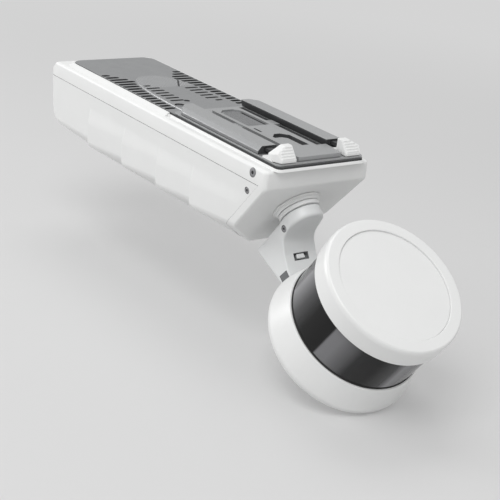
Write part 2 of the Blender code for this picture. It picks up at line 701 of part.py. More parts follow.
def make_release_tabs():
    base = PLATE_TOP + GAP
    for word, side in (("left", -1), ("right", 1)):
        profile = [(TAB_FRONT, base), (TAB_BACK, base), (TAB_BACK, TAB_TOP), (TAB_CREST_Y, TAB_TOP),
                   (TAB_FRONT, TAB_LIP_Z)]
        low, high = sorted((side * TAB_IN, side * TAB_OUT))
        tab = place(word + "_release_tab", prism_mesh(profile, low, high, ALONG_X), DECK, WHITE_PLASTIC)
        chamfer = [(TAB_IN, TAB_FRONT), (TAB_OUT - TAB_CHAMFER, TAB_FRONT), (TAB_OUT, TAB_BACK - TAB_CHAMFER),
                   (TAB_OUT, TAB_BACK + OVERRUN), (TAB_IN, TAB_BACK + OVERRUN)]
        chamfer = [(side * x, y) for x, y in chamfer]
        keep(tab, place(word + "_tab_plan", prism_mesh(chamfer, 0, TAB_TOP + OVERRUN, ALONG_Z), DECK))
        slope = [(TAB_SLOPE_IN, TAB_TOP), (TAB_OUT + GAP, TAB_SLOPE_Z),
                 (TAB_OUT + OVERRUN, TAB_TOP + OVERRUN), (TAB_SLOPE_IN, TAB_TOP + OVERRUN)]
        slope = [(side * x, z) for x, z in slope]
        cut(tab, place(word + "_tab_slope", prism_mesh(slope, 0, TAB_FOOT_BACK, ALONG_Y), DECK))
        foot = box_mesh((low, TAB_BACK - OVERRUN, base), (high, TAB_FOOT_BACK, TAB_FOOT_TOP))
        low, high = sorted((side * (TAB_X - TONGUE_HALF), side * (TAB_X + TONGUE_HALF)))
        tongue = box_mesh((low, TAB_BACK - OVERRUN, TONGUE_LOW), (high, TONGUE_BACK, TONGUE_HIGH))
        join(tab, place(word + "_tab_foot", foot, DECK), place(word + "_tab_tongue", tongue, DECK))

        centre = Vector((side * TAB_X, TONGUE_BACK + GAP + SPRING_WIRE_R, (TONGUE_LOW + TONGUE_HIGH) / 2))
        length = POCKET_END - GAP - SPRING_WIRE_R - centre.y
        count = SPRING_TURNS * SPRING_POINTS
        route = []
        for i in range(count + 1):
            angle = 2 * math.pi * i / SPRING_POINTS
            spoke = Vector((math.cos(angle), 0, math.sin(angle))) * SPRING_R
            route.append(centre + spoke + Vector((0, length * i / count, 0)))
        coil(word + "_release_spring", route, SPRING_WIRE_R, DECK, STEEL)


def coil(name, route, radius, parent, material):
    """A wire along a route of points."""
    curve = bpy.data.curves.new(name, "CURVE")
    curve.dimensions = "3D"
    curve.bevel_depth = radius
    curve.bevel_resolution = 0
    curve.use_fill_caps = True
    spline = curve.splines.new("POLY")
    spline.points.add(len(route) - 1)
    for point, place_of in zip(spline.points, route):
        point.co = (*place_of, 1)
    item = bpy.data.objects.new(name, curve)
    item.parent = parent
    curve.materials.append(material)
    PARTS.objects.link(item)
    weld = item.modifiers.new("weld", "WELD")
    weld.merge_threshold = WELD


# Head joint inside the nose

def make_head_joint():
    seat = -WALL - GAP
    collar = [(COLLAR_RIM_R, GAP + COLLAR_THICK), (COLLAR_RIM_R, COLLAR_GROOVE_HIGH),
              (COLLAR_GROOVE_R, COLLAR_GROOVE_HIGH), (COLLAR_GROOVE_R, COLLAR_GROOVE_LOW),
              (COLLAR_RIM_R, COLLAR_GROOVE_LOW), (COLLAR_R, GAP), (FACE_HOLE_R, GAP),
              (FACE_HOLE_R, GAP + COLLAR_THICK)]
    turned("hub_collar", collar, HEAD, WHITE_PLASTIC, closed=True)
    floor = seat - HOUSING_DEPTH
    rim = floor - HOUSING_SKIRT
    tail = floor - SHAFT_TAIL
    profile = [(FLANGE_R, seat), (FLANGE_R, seat - FLANGE_THICK), (HOUSING_R, seat - FLANGE_THICK),
               (HOUSING_R, rim), (HOUSING_RIM_BORE, rim),
               (HOUSING_RIM_BORE, floor - HOUSING_FLOOR_THICK), (SHAFT_R + RUN, floor - HOUSING_FLOOR_THICK),
               (SHAFT_R + RUN, floor), (HOUSING_BORE, floor), (HOUSING_BORE, seat - FLANGE_THICK),
               (HOUSING_LIP_R, seat - FLANGE_THICK), (HOUSING_LIP_R, seat)]
    turned("bearing_housing", profile, HEAD, ALUMINIUM, FINE, closed=True)

    front = seat - FLANGE_THICK - GAP
    outer = HOUSING_BORE - GAP
    inner = SHAFT_R + GAP
    ring("front_bearing", inner, outer, front - BEARING_WIDTH, front, HEAD, STEEL)
    ring("rear_bearing", inner, outer, floor + GAP, floor + GAP + BEARING_WIDTH, HEAD, STEEL)
    motor = front - BEARING_WIDTH - RUN
    ring("motor_stator", STATOR_BORE, outer, motor - MOTOR_LENGTH, motor, HEAD, COPPER)
    ring("motor_rotor", inner, STATOR_BORE - RUN, motor - MOTOR_LENGTH, motor, HEAD, DARK_METAL)

    step = floor - SHAFT_STEP
    shaft = [(SHAFT_R, SHAFT_SEAT), (SHAFT_R, step), (SHAFT_TAIL_R, step), (SHAFT_TAIL_R, tail),
             (SHAFT_BORE, tail), (SHAFT_BORE, SHAFT_SEAT)]
    turned("head_shaft", shaft, HEAD, STEEL, COARSE, closed=True)
    disc_top = floor - HOUSING_FLOOR_THICK - RUN
    disc_low = disc_top - ENCODER_THICK
    ring("encoder_disc", inner, ENCODER_R, disc_low, disc_top, HEAD, STEEL)
    slip_top = rim - GAP
    slip_end = floor - SLIP_LENGTH
    reader = box_mesh((READER_IN, -READER_HALF, slip_top + GAP), (READER_OUT, READER_HALF, disc_low - RUN))
    place("encoder_reader", reader, HEAD, BOARD_GREEN)
    slip = [(HOUSING_R, slip_top), (HOUSING_R, slip_top - SLIP_FLANGE_THICK),
            (SLIP_R, slip_top - SLIP_FLANGE_THICK), (SLIP_R, slip_end), (0, slip_end),
            (0, tail - RUN), (SHAFT_TAIL_R + RUN, tail - RUN),
            (SHAFT_TAIL_R + RUN, slip_top)]
    turned("slip_ring", slip, HEAD, BLACK_PLASTIC, COARSE, closed=True)


# Arm

def dish_profile(grow=0.0):
    """The dish's outer side from its top edge to the middle of its bottom."""
    rise = DISH_TOP_Z - DISH_BULGE_Z
    flare = DISH_R - DISH_TOP_R
    points = [(DISH_TOP_R + grow, DISH_TOP_Z),
              (DISH_TOP_R + flare * DISH_FLARE_SHARE + grow, DISH_TOP_Z - rise * DISH_FLARE_SHARE)]
    for step in range(DISH_STEPS + 1):
        angle = math.pi / 2 * step / DISH_STEPS
        points.append((DISH_FOOT_R + (DISH_R - DISH_FOOT_R) * math.cos(angle) + grow,
                       DISH_BULGE_Z * (1 - math.sin(angle)) - grow * math.sin(angle)))
    return points + [(0, -grow)]


def make_arm():
    hub_back = GAP + COLLAR_THICK + RUN
    arm = place("arm", rod_mesh(ARM_HALF, hub_back, ARM_HUB_FRONT, steps=FINE), HEAD, WHITE_METAL)
    # seen from the side, as (up the face, out along the axis)
    side = [(-ARM_ELBOW_DROP, ARM_ELBOW_OUT), (0, ARM_NAPE_OUT), (0, ARM_HUB_FRONT - GAP),
            (-ARM_SHOULDER_DROP, ARM_SHOULDER_OUT), (-ARM_BEND_DROP, ARM_BEND_OUT),
            (-ARM_RAMP_DROP, ARM_RAMP_OUT), (-ARM_NECK_DROP, ARM_NECK_OUT), (-ARM_TONGUE_DROP, ARM_TIP_OUT),
            (-ARM_TIP_DROP, ARM_TIP_OUT), (-ARM_SOLE_DROP, ARM_SOLE_OUT)]
    side = rounded(side, [0, 0, 0, 0, ARM_BEND_ROUND, 0, 0, 0, 0, 0])
    bracket = place("arm_bracket", prism_mesh(side, -ARM_HALF + WELD, ARM_HALF - WELD, ALONG_X), HEAD)
    plate = place("arm_plate", rod_mesh(ARM_PLATE_R, -ARM_PLATE_THICK, DISH_WALL, steps=FINE), PUCK)
    join(arm, bracket, plate)
    dish = dish_profile(GAP)
    room = turned("dish_room", [(0, DISH_TOP_Z + OVERRUN), (DISH_TOP_R + GAP, DISH_TOP_Z + OVERRUN)] + dish,
                  PUCK)
    slot = box_mesh((-SLOT_HALF, -SLOT_FLOOR_DROP, SLOT_NEAR), (SLOT_HALF, OVERRUN, SLOT_FAR))
    bore = rod_mesh(SHAFT_R + GAP, 0, SHAFT_SEAT + GAP)
    cut(arm, room, place("arm_slot", slot, HEAD), place("arm_bore", bore, HEAD))

    for word, side in (("left", -1), ("right", 1)):
        low, high = sorted((side * (ARM_HALF - SCREW_SUNK), side * (ARM_HALF + OVERRUN)))
        spot = (0, -ARM_SCREW_DROP, ARM_SCREW_OUT)
        cut(arm, place(word + "_arm_recess", rod_mesh(ARM_SCREW_R + GAP, low, high, 16, ALONG_X), HEAD,
                       location=spot))
        low, high = sorted((side * (ARM_HALF - SCREW_SUNK + GAP), side * ARM_HALF))
        place(word + "_arm_screw", rod_mesh(ARM_SCREW_R, low, high, 16, ALONG_X), HEAD, DARK_METAL, spot)
        low, high = sorted((side * (ARM_HALF - DAMPER_THICK - GAP), side * (ARM_HALF + OVERRUN)))
        seat = box_mesh((low, -DAMPER_LOW_DROP - GAP, DAMPER_NEAR - GAP), (high, OVERRUN, DAMPER_FAR + GAP))
        cut(arm, place(word + "_damper_seat", seat, HEAD))
        low, high = sorted((side * (ARM_HALF - DAMPER_THICK), side * ARM_HALF))
        block = box_mesh((low, -DAMPER_LOW_DROP, DAMPER_NEAR), (high, -DAMPER_HIGH_DROP, DAMPER_FAR))
        cut(place(word + "_damper", block, HEAD, GRAY_RUBBER), room)


# Puck

def make_puck():
    outer = dish_profile()
    inner_r = DISH_TOP_R - DISH_WALL
    profile = outer + [(0, DISH_WALL), (DISH_FOOT_R - DISH_WALL, DISH_WALL),
                       (DISH_R - 2 * DISH_WALL, DISH_BULGE_Z), (inner_r, DISH_TOP_Z)]
    turned("puck_base", profile, PUCK, WHITE_PLASTIC, closed=True)
    seal_low = DISH_TOP_Z + GAP
    ring("window_seal", inner_r, DISH_TOP_R, seal_low, seal_low + SEAL_THICK, PUCK, BLACK_RUBBER, FINE)
    window_low = seal_low + SEAL_THICK + GAP
    ring("window", WINDOW_R - WINDOW_WALL, WINDOW_R, window_low, WINDOW_TOP_Z, PUCK, SMOKED, FINE)

    cap_low = WINDOW_TOP_Z + GAP
    cap_in = CAP_R - CAP_WALL
    under = CAP_FLOOR_Z - CAP_FLOOR_THICK
    rim_in = DISC_R + GAP
    profile = [(0, CAP_FLOOR_Z), (rim_in, CAP_FLOOR_Z), (rim_in, CAP_TOP_Z), (CAP_R - CAP_BEVEL, CAP_TOP_Z),
               (CAP_R - CAP_BEVEL / 3, CAP_TOP_Z - CAP_BEVEL / 2), (CAP_R, CAP_TOP_Z - 2 * CAP_BEVEL),
               (CAP_R, cap_low), (CAP_R - CAP_LAND, cap_low),
               (CAP_R - CAP_LAND, cap_low + CAP_WALL), (cap_in, cap_low + CAP_WALL),
               (cap_in, under - CAP_WALL), (cap_in - CAP_WALL, under), (0, under)]
    turned("top_cap", profile, PUCK, WHITE_PLASTIC)
    turned("top_disc", [(0, DISC_TOP_Z), (DISC_R, DISC_TOP_Z), (DISC_R, CAP_FLOOR_Z + GAP),
                        (0, CAP_FLOOR_Z + GAP)], PUCK, WHITE_PLASTIC)

    foot = DISH_WALL + GAP
    flange = foot + SPINDLE_FLANGE_THICK
    turned("spindle", [(0, under - GAP), (SPINDLE_R, under - GAP), (SPINDLE_R, flange),
                       (SPINDLE_FLANGE_R, flange), (SPINDLE_FLANGE_R, foot), (0, foot)], PUCK, STEEL, COARSE)
    board = flange + GAP
    ring("base_board", SPINDLE_R + GAP, BOARD_R, board, board + BOARD_THICK, PUCK, BOARD_GREEN)
    coil_low = board + BOARD_THICK + GAP
    ring("spin_stator", SPIN_COIL_IN, SPIN_COIL_OUT, coil_low, coil_low + SPIN_COIL_HEIGHT, PUCK, COPPER)
    for name, low in (("lower_spin_bearing", SPIN_BEARING_LOW_Z),
                      ("upper_spin_bearing", SPIN_BEARING_HIGH_Z)):
        ring(name, SPINDLE_R + GAP, TURRET_BORE - RUN, low, low + SPIN_BEARING_WIDTH, PUCK, STEEL)

    turret = ring("turret", TURRET_BORE, TURRET_R, TURRET_LOW_Z, TURRET_HIGH_Z, PUCK, BLACK_PLASTIC, FINE)
    reach = TURRET_R + OVERRUN
    cut(turret, place("turret_flat", box_mesh((-reach, -reach, TURRET_LOW_Z - OVERRUN),
                                              (reach, -TURRET_FLAT, TURRET_HIGH_Z + OVERRUN)), PUCK))
    ring("rotor_magnet", SPIN_COIL_OUT + RUN, MAGNET_R, TURRET_LOW_Z - GAP - MAGNET_HEIGHT,
         TURRET_LOW_Z - GAP, PUCK, DARK_METAL)
    for word, side in (("emitter", -1), ("receiver", 1)):
        spot = (side * LENS_SPREAD, 0, LENS_Z)
        hole = rod_mesh(LENS_R + GAP, -TURRET_FLAT - OVERRUN, -TURRET_FLAT + LENS_SUNK, turn=LENS_TURN)
        cut(turret, place(word + "_lens_seat", hole, PUCK, location=spot))
        back = -TURRET_FLAT + LENS_SUNK - GAP
        place(word + "_lens", rod_mesh(LENS_R, back - LENS_THICK, back, turn=LENS_TURN), PUCK, GLASS, spot)


# Inside the body and on its rear wall

def make_electronics():
    top = -LID_THICK - GAP
    low = top - SPREADER_THICK
    spreader = place("heat_spreader", box_mesh((-SPREADER_HALF, SPREADER_FRONT, low),
                                               (SPREADER_HALF, SPREADER_BACK, top)), DECK, ALUMINIUM)
    for i, x in enumerate((-SPREADER_HALF + POST_INSET, SPREADER_HALF - POST_INSET)):
        for j, y in enumerate((SPREADER_FRONT + POST_INSET, SPREADER_BACK - POST_INSET)):
            post = rod_mesh(POST_R, low - POST_LENGTH, low + SPREADER_THICK / 2, steps=12)
            join(spreader, place(f"spreader_post_{i}_{j}", post, DECK, location=(x, y, 0)))
    board_top = low - POST_LENGTH - GAP
    board_low = board_top - BOARD_THICK
    place("main_board", box_mesh((-BOARD_HALF, SPREADER_FRONT, board_low),
                                 (BOARD_HALF, SPREADER_BACK, board_top)), DECK, BOARD_GREEN)
    for name, size, (x, y), material in (
            ("storage_drive", STORAGE_SIZE, STORAGE_PLACE, DARK_METAL),
            ("motion_sensor", MOTION_SIZE, MOTION_PLACE, ALUMINIUM),
            ("power_module", POWER_SIZE, POWER_PLACE, ALUMINIUM),
            ("wireless_module", WIRELESS_SIZE, WIRELESS_PLACE, STEEL)):
        place(name, centred_box((x, y, board_low - MODULE_GAP - size[2] / 2), size), DECK, material)


def make_rear_fittings():
    for name, x, radius in rear_fittings()[:2]:
        socket = [(SOCKET_FLANGE_R, GAP + SOCKET_FLANGE_THICK), (SOCKET_FLANGE_R, GAP), (radius, GAP),
                  (radius, -SOCKET_IN), (0, -SOCKET_IN), (0, SOCKET_OUT - SOCKET_RECESS),
                  (radius - SOCKET_RIM, SOCKET_OUT - SOCKET_RECESS), (radius - SOCKET_RIM, SOCKET_OUT),
                  (radius, SOCKET_OUT), (radius, GAP + SOCKET_FLANGE_THICK)]
        turned(name, socket, REAR, DARK_METAL, COARSE, closed=True, location=(x, 0, 0))
    body_r = BEZEL_R - SOCKET_FLANGE_THICK
    bezel = [(BEZEL_R, GAP + BEZEL_OUT), (BEZEL_R, GAP), (body_r, GAP), (body_r, -BEZEL_IN - BEZEL_FLOOR),
             (0, -BEZEL_IN - BEZEL_FLOOR), (0, -BEZEL_IN), (BEZEL_BORE, -BEZEL_IN),
             (BEZEL_BORE, GAP + BEZEL_OUT)]
    turned("button_bezel", bezel, REAR, DARK_METAL, COARSE, closed=True, location=(SOCKET_X, 0, 0))
    button = [(0, BUTTON_OUT), (BUTTON_R, BUTTON_OUT), (BUTTON_R, -BEZEL_IN + BUTTON_TRAVEL + GAP),
              (0, -BEZEL_IN + BUTTON_TRAVEL + GAP)]
    turned("power_button", button, REAR, BLACK_RUBBER, COARSE, location=(SOCKET_X, 0, 0))


clear_scene()
PARTS = new_collection("laser_scanner")
CUTTERS = new_collection("cutters")

WHITE_PLASTIC = finish("white_plastic", (0.83, 0.84, 0.84), 0.45)
WHITE_METAL = finish("white_metal", (0.74, 0.75, 0.76), 0.4)
GRAY_METAL = finish("gray_metal", (0.32, 0.33, 0.34), 0.4, 0.6)
DARK_METAL = finish("dark_metal", (0.12, 0.12, 0.13), 0.4, 0.8)
ALUMINIUM = finish("aluminium", (0.6, 0.6, 0.61), 0.35, 1.0)
STEEL = finish("steel", (0.5, 0.5, 0.52), 0.3, 1.0)
COPPER = finish("copper_winding", (0.6, 0.32, 0.16), 0.4, 0.9)
BLACK_PLASTIC = finish("black_plastic", (0.03, 0.03, 0.03), 0.5)
BLACK_RUBBER = finish("black_rubber", (0.02, 0.02, 0.02), 0.75)
GRAY_RUBBER = finish("gray_rubber", (0.25, 0.26, 0.27), 0.8)
SMOKED = finish("smoked_window", (0.02, 0.022, 0.025), 0.06)
GLASS = finish("lens_glass", (0.1, 0.02, 0.05), 0.05)
BOARD_GREEN = finish("circuit_board", (0.02, 0.13, 0.06), 0.5)

LENS_TURN = ALONG_Y.inverted()

DECK = empty("deck_frame", location=(0, -DOCK_CENTRE_Y, -PAD_TOP))
HUB_Y = NOSE_Y + HUB_DROP * math.sin(HEAD_TILT)
HUB_Z = NOSE_BREAK_Z - HUB_DROP * math.cos(HEAD_TILT)
HEAD = empty("head_axis", DECK, (0, HUB_Y, HUB_Z), math.pi / 2 + HEAD_TILT)
PUCK = empty("puck_axis", HEAD, (0, -PUCK_DROP, PUCK_OUT), PUCK_TILT - HEAD_TILT - math.pi / 2)
REAR_SLOPE = math.atan2(REAR_Y - REAR_LOW_Y, REAR_TOP_Z - REAR_LOW_Z)
REAR_WALL_Y = REAR_LOW_Y + (REAR_FIT_Z - REAR_LOW_Z) * math.tan(REAR_SLOPE)
REAR = empty("rear_wall", DECK, (0, REAR_WALL_Y, REAR_FIT_Z), -math.pi / 2 - REAR_SLOPE)

make_shells()
make_deck()
make_dock()
make_release_tabs()
make_head_joint()
make_arm()
make_puck()
make_electronics()
make_rear_fittings()
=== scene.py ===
"""Looks of a handheld laser scanner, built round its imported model."""

import json
import math

import bmesh
import bpy
import numpy as np
from mathutils import Matrix, Vector


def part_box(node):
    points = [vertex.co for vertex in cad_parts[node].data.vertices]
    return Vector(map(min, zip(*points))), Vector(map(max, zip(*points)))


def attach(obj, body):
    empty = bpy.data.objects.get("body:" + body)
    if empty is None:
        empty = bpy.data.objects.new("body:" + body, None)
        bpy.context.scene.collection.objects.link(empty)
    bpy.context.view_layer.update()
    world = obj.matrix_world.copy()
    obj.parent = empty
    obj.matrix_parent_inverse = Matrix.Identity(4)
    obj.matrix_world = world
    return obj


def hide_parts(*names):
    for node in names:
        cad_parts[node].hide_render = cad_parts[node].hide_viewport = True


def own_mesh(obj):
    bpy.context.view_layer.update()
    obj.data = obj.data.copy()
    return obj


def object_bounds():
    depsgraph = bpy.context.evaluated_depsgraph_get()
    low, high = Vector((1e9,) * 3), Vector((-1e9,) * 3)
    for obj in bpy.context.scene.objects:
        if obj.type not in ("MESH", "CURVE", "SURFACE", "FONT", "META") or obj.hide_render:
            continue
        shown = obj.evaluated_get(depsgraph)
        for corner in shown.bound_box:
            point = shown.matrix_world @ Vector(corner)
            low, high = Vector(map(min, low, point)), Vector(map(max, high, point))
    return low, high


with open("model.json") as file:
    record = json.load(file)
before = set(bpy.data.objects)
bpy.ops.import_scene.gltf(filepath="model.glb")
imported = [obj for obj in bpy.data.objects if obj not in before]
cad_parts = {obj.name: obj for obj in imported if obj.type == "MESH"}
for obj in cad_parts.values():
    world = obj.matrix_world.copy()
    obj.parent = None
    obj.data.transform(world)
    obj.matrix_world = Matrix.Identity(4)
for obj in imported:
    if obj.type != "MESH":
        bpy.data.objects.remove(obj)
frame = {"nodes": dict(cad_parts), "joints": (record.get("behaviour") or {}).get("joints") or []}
CAD_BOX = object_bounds()

MM = 0.001
GAP = 0.3 * MM                  # between pieces that rest on each other
OVERRUN = 5 * MM                # how far a cutter reaches past what it cuts
WELD = 0.001 * MM
WALL = 2.5 * MM                 # moulded shells
FINE = 160                      # steps of a large turned piece
COARSE = 64                     # steps of a small one
EDGE_STEPS = 4                  # of the round on a turned piece's edge
FINE_EDGE_STEPS = 3             # and of a narrower one
ARC_STEPS = 8
CRISP = (2, 50.0)               # segments of a small edge, and the least turn in degrees that gets one
WAYS = (-1, 1)                  # left and right of the middle plane
SIDES = tuple(zip(("left", "right"), WAYS))


def assign(target, **settings):
    """Gives a thing several settings, and returns it."""
    for name, value in settings.items():
        setattr(target, name, value)
    return target


# Frames: the deck's, the head joint's, the puck's and the rear wall's

def frame_matrix(origin, outward, across=(1, 0, 0)):
    """A frame whose Z points outward. Its X is the model's own where none is given."""
    x, z = Vector(across), Vector(outward).normalized()
    matrix = Matrix((x, z.cross(x), z)).transposed().to_4x4()
    matrix.translation = Vector(origin)
    return matrix


def joint(name):
    return next(item for item in frame["joints"] if item["name"] == name)


def extent(node, matrix):
    """Lowest and highest corner of a CAD node, seen in a frame."""
    inverse = matrix.inverted()
    points = np.array([inverse @ v.co for v in frame["nodes"][node].data.vertices])
    return Vector(points.min(0)), Vector(points.max(0))


def centroid(node):
    points = np.array([v.co for v in frame["nodes"][node].data.vertices])
    return Vector(points.mean(0))


LID_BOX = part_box("deck_lid")
DECK = Matrix.Translation((0, LID_BOX[0].y, LID_BOX[1].z))
HEAD = frame_matrix(joint("head_spin")["pos_m"], joint("head_spin")["axis"])
PUCK = frame_matrix(joint("lidar_spin")["pos_m"], joint("lidar_spin")["axis"])
REAR_OUT = -Vector(joint("power_press")["axis"])
SOCKET_OUT = 3 * MM             # how far the sockets stand out of the rear wall
REAR = frame_matrix(centroid("data_socket"), REAR_OUT)
REAR.translation += REAR_OUT * (extent("data_socket", REAR)[1].z - SOCKET_OUT)


# Materials: each noise is given by its cells in a metre and its detail

TONE_SHARES = (0.3, 0.7)        # of a noise's range: the dark tone ends, the light one starts
MOTTLE = (35.0, 4.0)
MOULD_SHEEN = (120.0, 5.0)
MOULD_SHEEN_SHARES = (0.88, 1.12)
GRAIN_DETAIL = 2.0
MARKS = (300.0, 4.0)
MARK_TONE_SHARES = (0.9, 1.08)
MARK_SHEEN_SHARES = (0.8, 1.25)
MARK_DEPTH = 0.01 * MM
FLAKES = (2600.0, 1.0)
FLAKE_TONE_SHARES = (0.86, 1.14)
PAINT_SHEEN = (90.0, 5.0)
PAINT_SHEEN_SHARES = (0.9, 1.12)
PAINT_GRAIN = (1500.0, 2.0)
PAINT_GRAIN_DEPTH = 0.012 * MM
PAINT_SWELL = (60.0, 2.0)
PAINT_SWELL_DEPTH = 0.02 * MM
# Painted shade in the gaps between the raised squares: shares of the base colour in the gaps and on the
# squares
SQUARE_GAP_SHADE_SHARES = (0.55, 1.3)
SQUARE_GAP_SHARE = 0.18
SQUARE_SOFT_SHARE = 0.6
# Painted reflections on the window: light and dark bands repeated round the ring, as shares of each repeat
# and their grays
PAINTED_REFLECTION_REPEATS = 3
PAINTED_REFLECTION_SHARES = (0.0, 0.128, 0.142, 0.21, 0.31, 0.36, 0.5, 0.62, 0.68, 0.85, 0.97)
PAINTED_REFLECTION_GRAYS = (0.003, 0.003, 0.24, 0.24, 0.12, 0.03, 0.004, 0.05, 0.3, 0.07, 0.003)
PAINTED_REFLECTION_BLUE_SHARE = 1.04
PAINTED_REFLECTION_TONES = tuple((gray, gray, gray * PAINTED_REFLECTION_BLUE_SHARE) for gray in PAINTED_REFLECTION_GRAYS)
SMEARS = (40.0, 3.0)
WINDOW_ROUGHNESS = 0.06
WINDOW_SHEEN = (0.05, 0.09)     # the least and the most of it
WINDOW_VALUES = {"Transmission Weight": 0.2, "IOR": 1.45, "Specular IOR Level": 0.28}
COATING = (90.0, 1.0)
LENS_RED = (0.10, 0.02, 0.06)
LENS_VIOLET = (0.05, 0.03, 0.12)
LENS_DARK_SHARES = (0.8,)
LENS_ROUGHNESS = 0.04
LENS_VALUES = {"Coat Weight": 1.0, "Coat Roughness": 0.02}
BOARD_GREEN = (0.02, 0.13, 0.06)
BOARD_ROUGHNESS = 0.42
TRACKS = (220.0, 1.0)
TRACK_TONE_SHARES = (0.75, 1.5)
TRACK_DEPTH = 0.03 * MM

# Grain of each moulded surface: cells in a metre and depth
GRAINS = {
    "white_shell": (2200.0, 0.010 * MM),
    "white_cap": (2600.0, 0.006 * MM),
    "cast_white": (1300.0, 0.018 * MM),
    "painted_shade_dark": (1800.0, 0.01 * MM),
    "pocket_grip": (2500.0, 0.01 * MM),
    "plateau_grid": (2500.0, 0.01 * MM),
    "black_mould": (2200.0, 0.012 * MM),
    "black_gasket": (2600.0, 0.012 * MM),
    "gray_pad": (2400.0, 0.014 * MM),
}

# Squares of the knurled surfaces: pitch and depth
SQUARES = {
    "pocket_grip": (1.5 * MM, 0.15 * MM),
    "plateau_grid": (2.4 * MM, 0.12 * MM),
}


def shader_of(material):
    return material.node_tree.nodes["Principled BSDF"]


def new_material(name, colour, roughness, metallic=0.0, more=None):
    material = bpy.data.materials.new(name)
    material.use_nodes = True
    values = {"Base Color": (*colour, 1), "Roughness": roughness, "Metallic": metallic, **(more or {})}
    for socket, value in values.items():
        shader_of(material).inputs[socket].default_value = value
    return material


def add_node(tree, kind, inputs=None, **settings):
    """A new node with its settings, and with a value or a link in each input that is named."""
    node = assign(tree.nodes.new("ShaderNode" + kind), **settings)
    for name, value in (inputs or {}).items():
        if isinstance(value, bpy.types.NodeSocket):
            tree.links.new(value, node.inputs[name])
        else:
            node.inputs[name].default_value = value
    return node


def noise(material, scale, detail, stretch=(1, 1, 1)):
    """A noise over the piece's own coordinates."""
    tree = material.node_tree
    where = add_node(tree, "TexCoord").outputs["Object"]
    turn = add_node(tree, "Mapping", {"Vector": where, "Scale": stretch}).outputs["Vector"]
    return add_node(tree, "TexNoise", {"Vector": turn, "Scale": scale, "Detail": detail}).outputs["Fac"]


def tint(material, value, shares, tones):
    """The base colour goes through tones at these shares of a value."""
    tree = material.node_tree
    ramp = add_node(tree, "ValToRGB", {"Fac": value})
    stops = ramp.color_ramp.elements
    while len(stops) < len(shares):
        stops.new(0.5)
    for stop, share, colour in zip(stops, shares, tones):
        stop.position = share
        stop.color = (*colour, 1)
    tree.links.new(ramp.outputs["Color"], shader_of(material).inputs["Base Color"])


def vary_roughness(material, value, low, high):
    tree = material.node_tree
    ends = dict(zip(("From Min", "From Max", "To Min", "To Max"), (*TONE_SHARES, low, high)))
    span = add_node(tree, "MapRange", {"Value": value, **ends})
    tree.links.new(span.outputs["Result"], shader_of(material).inputs["Roughness"])


def add_bump(material, value, distance):
    """Relief from a value, on top of what is there already."""
    tree = material.node_tree
    normal = shader_of(material).inputs["Normal"]
    inputs = {"Height": value, "Distance": distance}
    if normal.is_linked:
        inputs["Normal"] = normal.links[0].from_socket
    tree.links.new(add_node(tree, "Bump", inputs).outputs["Normal"], normal)


def scaled(value, shares):
    return [value * share for share in shares]


def tones(colour, shares):
    return [tuple(channel * share for channel in colour) for share in shares]


def moulded(name, colour, roughness, spread=0.03):
    """Moulded plastic, rubber or paint: a fine grain, a faint mottle and uneven gloss."""
    material = new_material(name, colour, roughness)
    grain, depth = GRAINS[name]
    tint(material, noise(material, *MOTTLE), TONE_SHARES, tones(colour, (1 - spread, 1 + spread)))
    vary_roughness(material, noise(material, *MOULD_SHEEN), *scaled(roughness, MOULD_SHEEN_SHARES))
    add_bump(material, noise(material, grain, GRAIN_DETAIL), depth)
    return material


def machined(name, colour, roughness, stretch=(1, 1, 40)):
    """Bare metal with fine turning or brushing marks."""
    material = new_material(name, colour, roughness, 1.0)
    marks = noise(material, *MARKS, stretch)
    tint(material, marks, TONE_SHARES, tones(colour, MARK_TONE_SHARES))
    vary_roughness(material, marks, *scaled(roughness, MARK_SHEEN_SHARES))
    add_bump(material, marks, MARK_DEPTH)
    return material


def flaked(name, colour, roughness, metallic):
    """Gray metallic paint: fine bright flakes over a satin coat with a light texture."""
    material = new_material(name, colour, roughness, metallic)
    tint(material, noise(material, *FLAKES), TONE_SHARES, tones(colour, FLAKE_TONE_SHARES))
    vary_roughness(material, noise(material, *PAINT_SHEEN), *scaled(roughness, PAINT_SHEEN_SHARES))
    add_bump(material, noise(material, *PAINT_GRAIN), PAINT_GRAIN_DEPTH)
    add_bump(material, noise(material, *PAINT_SWELL), PAINT_SWELL_DEPTH)
    return material


def knurled(name, colour, roughness):
    """A moulded surface with rows of small raised squares, with painted shade in the gaps between them."""
    material = moulded(name, colour, roughness)
    pitch, depth = SQUARES[name]
    tree = material.node_tree
    values = {"Vector": add_node(tree, "TexCoord").outputs["Object"], "Scale": 1 / pitch,
              "Mortar Size": SQUARE_GAP_SHARE, "Mortar Smooth": SQUARE_SOFT_SHARE, "Brick Width": 1.0,
              "Row Height": 1.0, "Color1": (1, 1, 1, 1), "Color2": (1, 1, 1, 1), "Mortar": (0, 0, 0, 1)}
    squares = add_node(tree, "TexBrick", values, offset=0.0).outputs["Color"]
    tint(material, squares, TONE_SHARES, tones(colour, SQUARE_GAP_SHADE_SHARES))
    add_bump(material, squares, depth)
    return material


